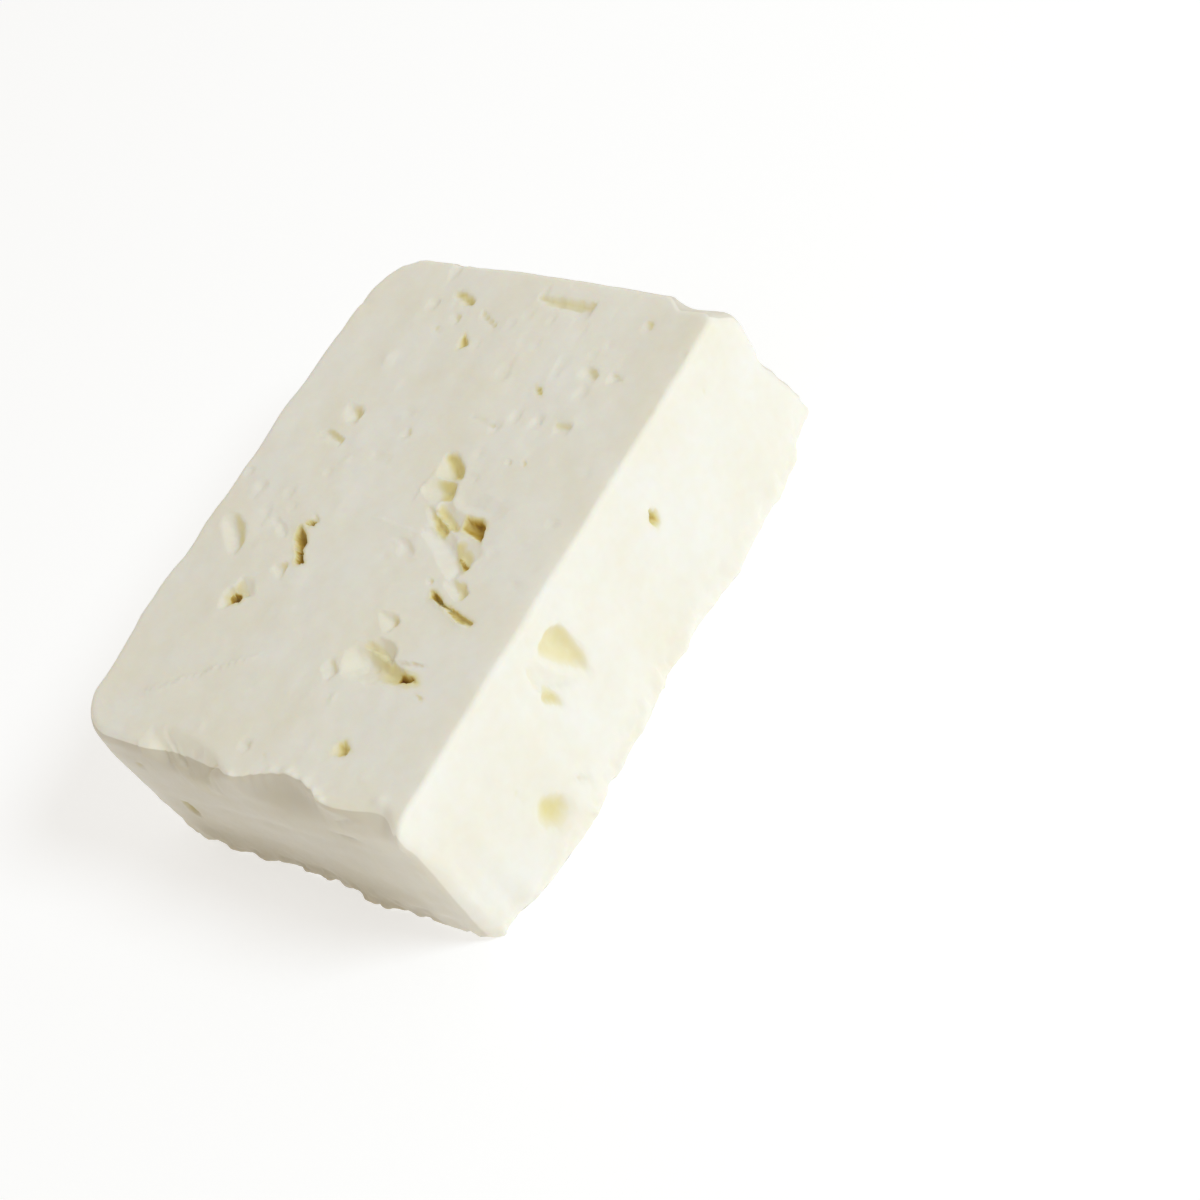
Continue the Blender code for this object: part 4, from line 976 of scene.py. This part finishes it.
@dataclass(frozen=True)
class FreshCheese:
    """Fresh pressed white cheese, cut with a wire: matte and moist, so light sinks in a few millimetres.

    The cut faces are a warm white. The holes go straw, ochre and brown, partly from dried whey and partly
    as painted shade; the ends darken to a painted shade colour.
    """

    white: str = "#F8F6EE"
    cream: str = "#F4F0E0"
    straw: str = "#EBE0A3"
    ochre: str = "#CAAB50"
    brown: str = "#84561E"
    # The painted shade colour of the ends
    painted_shade_colour: str = "#9E9070"
    roughness: float = 0.52
    scatter_mm: float = 2.6
    mottle_mm: float = 14.0
    curd_mm: float = 2.2
    grain_mm: float = 0.7

    def material(self) -> bpy.types.Material:
        """Builds the material.

        Returns:
            A material whose colour follows two mesh attributes, the holes' brown of dried whey with
            painted shade and the ends' painted shade, and some patterns.
        """
        material = bpy.data.materials.new("fresh_white_cheese_wire_cut")
        material.use_nodes = True
        tree = material.node_tree
        tree.nodes.clear()
        place = add_node(tree, "ShaderNodeTexCoord").outputs["Object"]
        sizes = ((self.mottle_mm, 3.0, 0.55), (self.curd_mm, 2.0, 0.5), (self.grain_mm, 2.0, 0.6))
        mottle, curd, grain = (add_node(tree, "ShaderNodeTexNoise", {}, {
            "Vector": place, "Scale": 1 / (size * MM), "Detail": detail, "Roughness": rough})
            for size, detail, rough in sizes)
        shade = add_node(tree, "ShaderNodeMath", {"operation": "MULTIPLY_ADD"}, {
            0: curd.outputs["Fac"], 1: 0.35, 2: mottle.outputs["Fac"]})
        spread = add_node(tree, "ShaderNodeMapRange", {}, {
            "Value": shade.outputs[0], "From Min": 0.45, "From Max": 0.95})
        face = add_node(tree, "ShaderNodeMix", {"data_type": "RGBA"}, {
            "Factor": spread.outputs[0], "A": linear(self.white), "B": linear(self.cream)})
        # The holes' brown: partly dried whey, partly painted shade, ramped from cream through straw and
        # ochre to brown
        stain_and_shade = add_node(tree, "ShaderNodeAttribute", {"attribute_name": "stain_and_shade"})
        uneven = add_node(tree, "ShaderNodeMapRange", {}, {
            "Value": curd.outputs["Fac"], "From Min": 0.3, "From Max": 0.7,
            "To Min": 0.85, "To Max": 1.15})
        tone = add_node(tree, "ShaderNodeMath", {"operation": "MULTIPLY"}, {
            0: stain_and_shade.outputs["Fac"], 1: uneven.outputs[0]})
        stain_shade_ramp = add_node(tree, "ShaderNodeValToRGB", {}, {"Fac": tone.outputs[0]})
        ramp = stain_shade_ramp.color_ramp
        ramp.elements[0].color = linear(self.cream)
        ramp.elements[1].position = 1.0
        ramp.elements[1].color = linear(self.brown)
        for position, colour in ((0.28, self.straw), (0.62, self.ochre)):
            ramp.elements.new(position).color = linear(colour)
        part = add_node(tree, "ShaderNodeMapRange", {}, {
            "Value": tone.outputs[0], "From Min": 0.0, "From Max": 0.06})
        fresh = add_node(tree, "ShaderNodeMix", {"data_type": "RGBA"}, {
            "Factor": part.outputs[0], "A": face.outputs["Result"], "B": stain_shade_ramp.outputs["Color"]})
        # Painted shade on the ends, darker in their middle and towards the foot
        painted_shade = add_node(tree, "ShaderNodeAttribute", {"attribute_name": "painted_shade"})
        colour = add_node(tree, "ShaderNodeMix", {"data_type": "RGBA"}, {
            "Factor": painted_shade.outputs["Fac"], "A": fresh.outputs["Result"], "B": linear(self.painted_shade_colour)})
        wet = add_node(tree, "ShaderNodeMapRange", {}, {
            "Value": grain.outputs["Fac"], "From Min": 0.3, "From Max": 0.7,
            "To Min": self.roughness - 0.06, "To Max": self.roughness + 0.08})
        relief = add_node(tree, "ShaderNodeMath", {"operation": "MULTIPLY_ADD"}, {
            0: grain.outputs["Fac"], 1: 0.35, 2: curd.outputs["Fac"]})
        bump = add_node(tree, "ShaderNodeBump", {}, {
            "Strength": 0.35, "Distance": 0.15 * MM, "Height": relief.outputs[0]})
        shader = add_node(tree, "ShaderNodeBsdfPrincipled", {}, {
            "Base Color": colour.outputs["Result"], "Roughness": wet.outputs[0], "IOR": 1.42,
            "Subsurface Weight": 0.45, "Subsurface Radius": (1.0, 0.75, 0.45),
            "Subsurface Scale": self.scatter_mm * MM, "Specular IOR Level": 0.35,
            "Normal": bump.outputs["Normal"]})
        add_node(tree, "ShaderNodeOutputMaterial", {}, {"Surface": shader.outputs["BSDF"]})
        return material


@dataclass
class CheeseBlock:
    """The block: its mesh, its finish, and its place on the frame."""

    form: BlockForm = field(default_factory=BlockForm)
    finish: FreshCheese = field(default_factory=FreshCheese)
    # How strong the painted shade on the ends is: all over, in their middle, and towards the foot
    end_shade: float = 0.22
    middle_shade: float = 0.2
    foot_shade: float = 0.3
    foot_reach: float = 20.0
    far_corner: float = -26.0
    end_blend: float = 0.6
    across: tuple = (
        (-44.0, 0.1), (-37.0, 0.15), (-31.0, 0.55), (-20.0, 0.9), (-10.0, 1.0), (28.0, 1.0), (34.0, 0.6),
        (46.0, 0.4))

    def painted_end_shade(self, box: np.ndarray) -> np.ndarray:
        """Painted shade on both ends: all over them, and more in their middle and towards the foot.

        Args:
            box: Points on the plain box.

        Returns:
            Values from 0 to 1. The far end's painted shade fades out round its corner by the mould side.
        """
        end = smooth((np.abs(box[:, 0]) - self.form.length / 2 + self.end_blend) / self.end_blend)
        end *= np.where(box[:, 0] > 0, fade(-box[:, 1], (-self.form.width / 2, self.far_corner)), 1.0)
        low = smooth((self.foot_reach - box[:, 2]) / self.foot_reach)
        middle = along(self.across, box[:, 1]) * (self.middle_shade + self.foot_shade * low)
        return end * (self.end_shade + middle)

    def mesh(self) -> bpy.types.Mesh:
        """The whole surface in metres, with two attributes: the holes' brown of dried whey with painted
        shade, and the ends' painted shade.

        Returns:
            A closed mesh whose footprint's middle is at the origin.
        """
        holes = CurdHoles(self.form)
        box, faces = self.form.grid()
        points = self.form.swollen(self.form.rounded(box))
        points = holes.drawn_to_rims(points)
        points, stain_and_shade_map = holes.sunk(self.form.weathered(points))
        points[:, 2] = np.maximum(points[:, 2], 0.0)
        points[:, :2] -= np.array(self.form.footprint_middle)
        mesh = bpy.data.meshes.new(NODE)
        mesh.from_pydata(points * MM, [], faces)
        # The holes' brown with painted shade, and the painted shade of the ends
        for name, values in (("stain_and_shade", stain_and_shade_map), ("painted_shade", self.painted_end_shade(box))):
            attribute = mesh.attributes.new(name, "FLOAT", "POINT")
            attribute.data.foreach_set("value", values.astype(np.float32))
        mesh.update()
        mesh.shade_smooth()
        return mesh

    def build(self) -> bpy.types.Object:
        """Makes the block and puts it in the place of its plain solid.

        Returns:
            The block's object.
        """
        block = bpy.data.objects.new("fresh_cheese", self.mesh())
        bpy.context.scene.collection.objects.link(block)
        block.data.materials.append(self.finish.material())
        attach(block, "root")
        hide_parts(NODE)
        return block


@dataclass
class Studio:
    """A pale floor, soft light from the front right, and the camera at the photograph's angle."""

    place: tuple = (-198.35, -387.06, 394.2)
    aim: tuple = (1.24, -37.24, 18.0)
    roll: float = -37.09
    lens: float = 90.0
    sensor: float = 36.0
    floor_size: float = 8.0
    floor_white: str = "#DCDDE0"
    floor_glow: float = 0.46
    glow_white: str = "#FDFEFF"
    sky_white: str = "#FFF8EC"
    sky_strength: float = 0.565
    key_toward: tuple = (0.28, -0.80, 0.70)
    key_distance: float = 1.6
    key_size: float = 0.55
    key_power: float = 9.1
    key_colour: str = "#EAF6FF"

    def floor(self) -> bpy.types.Object:
        """The pale floor, which is the stage.

        Returns:
            The floor's object, one square about the origin.
        """
        half = self.floor_size / 2
        corners = [(-half, -half, 0), (half, -half, 0), (half, half, 0), (-half, half, 0)]
        mesh = bpy.data.meshes.new("studio_floor")
        mesh.from_pydata(corners, [], [(0, 1, 2, 3)])
        floor = bpy.data.objects.new("studio_floor", mesh)
        bpy.context.scene.collection.objects.link(floor)
        material = bpy.data.materials.new("painted_studio_floor")
        material.use_nodes = True
        shader = material.node_tree.nodes["Principled BSDF"]
        shader.inputs["Base Color"].default_value = linear(self.floor_white)
        shader.inputs["Roughness"].default_value = 0.9
        shader.inputs["Specular IOR Level"].default_value = 0.1
        shader.inputs["Emission Color"].default_value = linear(self.glow_white)
        shader.inputs["Emission Strength"].default_value = self.floor_glow
        mesh.materials.append(material)
        return floor

    def light(self) -> None:
        """A wide soft key, and a pale sky all round that fills the shadows."""
        world = bpy.data.worlds.new("pale_studio")
        world.use_nodes = True
        sky = world.node_tree.nodes["Background"]
        sky.inputs["Color"].default_value = linear(self.sky_white)
        sky.inputs["Strength"].default_value = self.sky_strength
        bpy.context.scene.world = world
        lamp = bpy.data.lights.new("key", "AREA")
        lamp.shape = "DISK"
        lamp.size = self.key_size
        lamp.energy = self.key_power
        lamp.color = linear(self.key_colour)[:3]
        key = bpy.data.objects.new("key", lamp)
        toward = Vector(self.key_toward).normalized()
        key.location = toward * self.key_distance
        key.rotation_euler = (-toward).to_track_quat("-Z", "Y").to_euler()
        bpy.context.scene.collection.objects.link(key)

    def camera(self) -> bpy.types.Object:
        """The camera, looking from its place at its aim and rolled about that line.

        Returns:
            The scene's camera.
        """
        data = bpy.data.cameras.new("camera")
        data.lens = self.lens
        data.sensor_width = self.sensor
        data.clip_start = 0.01
        camera = bpy.data.objects.new("camera", data)
        place, aim = Vector(self.place) * MM, Vector(self.aim) * MM
        turn = (aim - place).to_track_quat("-Z", "Y").to_matrix().to_4x4()
        roll = Matrix.Rotation(math.radians(self.roll), 4, "Z")
        camera.matrix_world = Matrix.Translation(place) @ turn @ roll
        bpy.context.scene.collection.objects.link(camera)
        bpy.context.scene.camera = camera
        return camera


def main() -> None:
    """Builds the camera, the block and the studio, in that order."""
    logging.basicConfig(level=logging.INFO, format="%(name)s: %(message)s")
    studio = Studio()
    studio.camera()
    block = CheeseBlock().build()
    LOG.info("%s: %d faces", block.name, len(block.data.polygons))
    studio.floor()
    studio.light()
    bpy.context.scene.view_settings.view_transform = "Standard"
    LOG.info("studio ready")


if __name__ == "__main__":
    main()
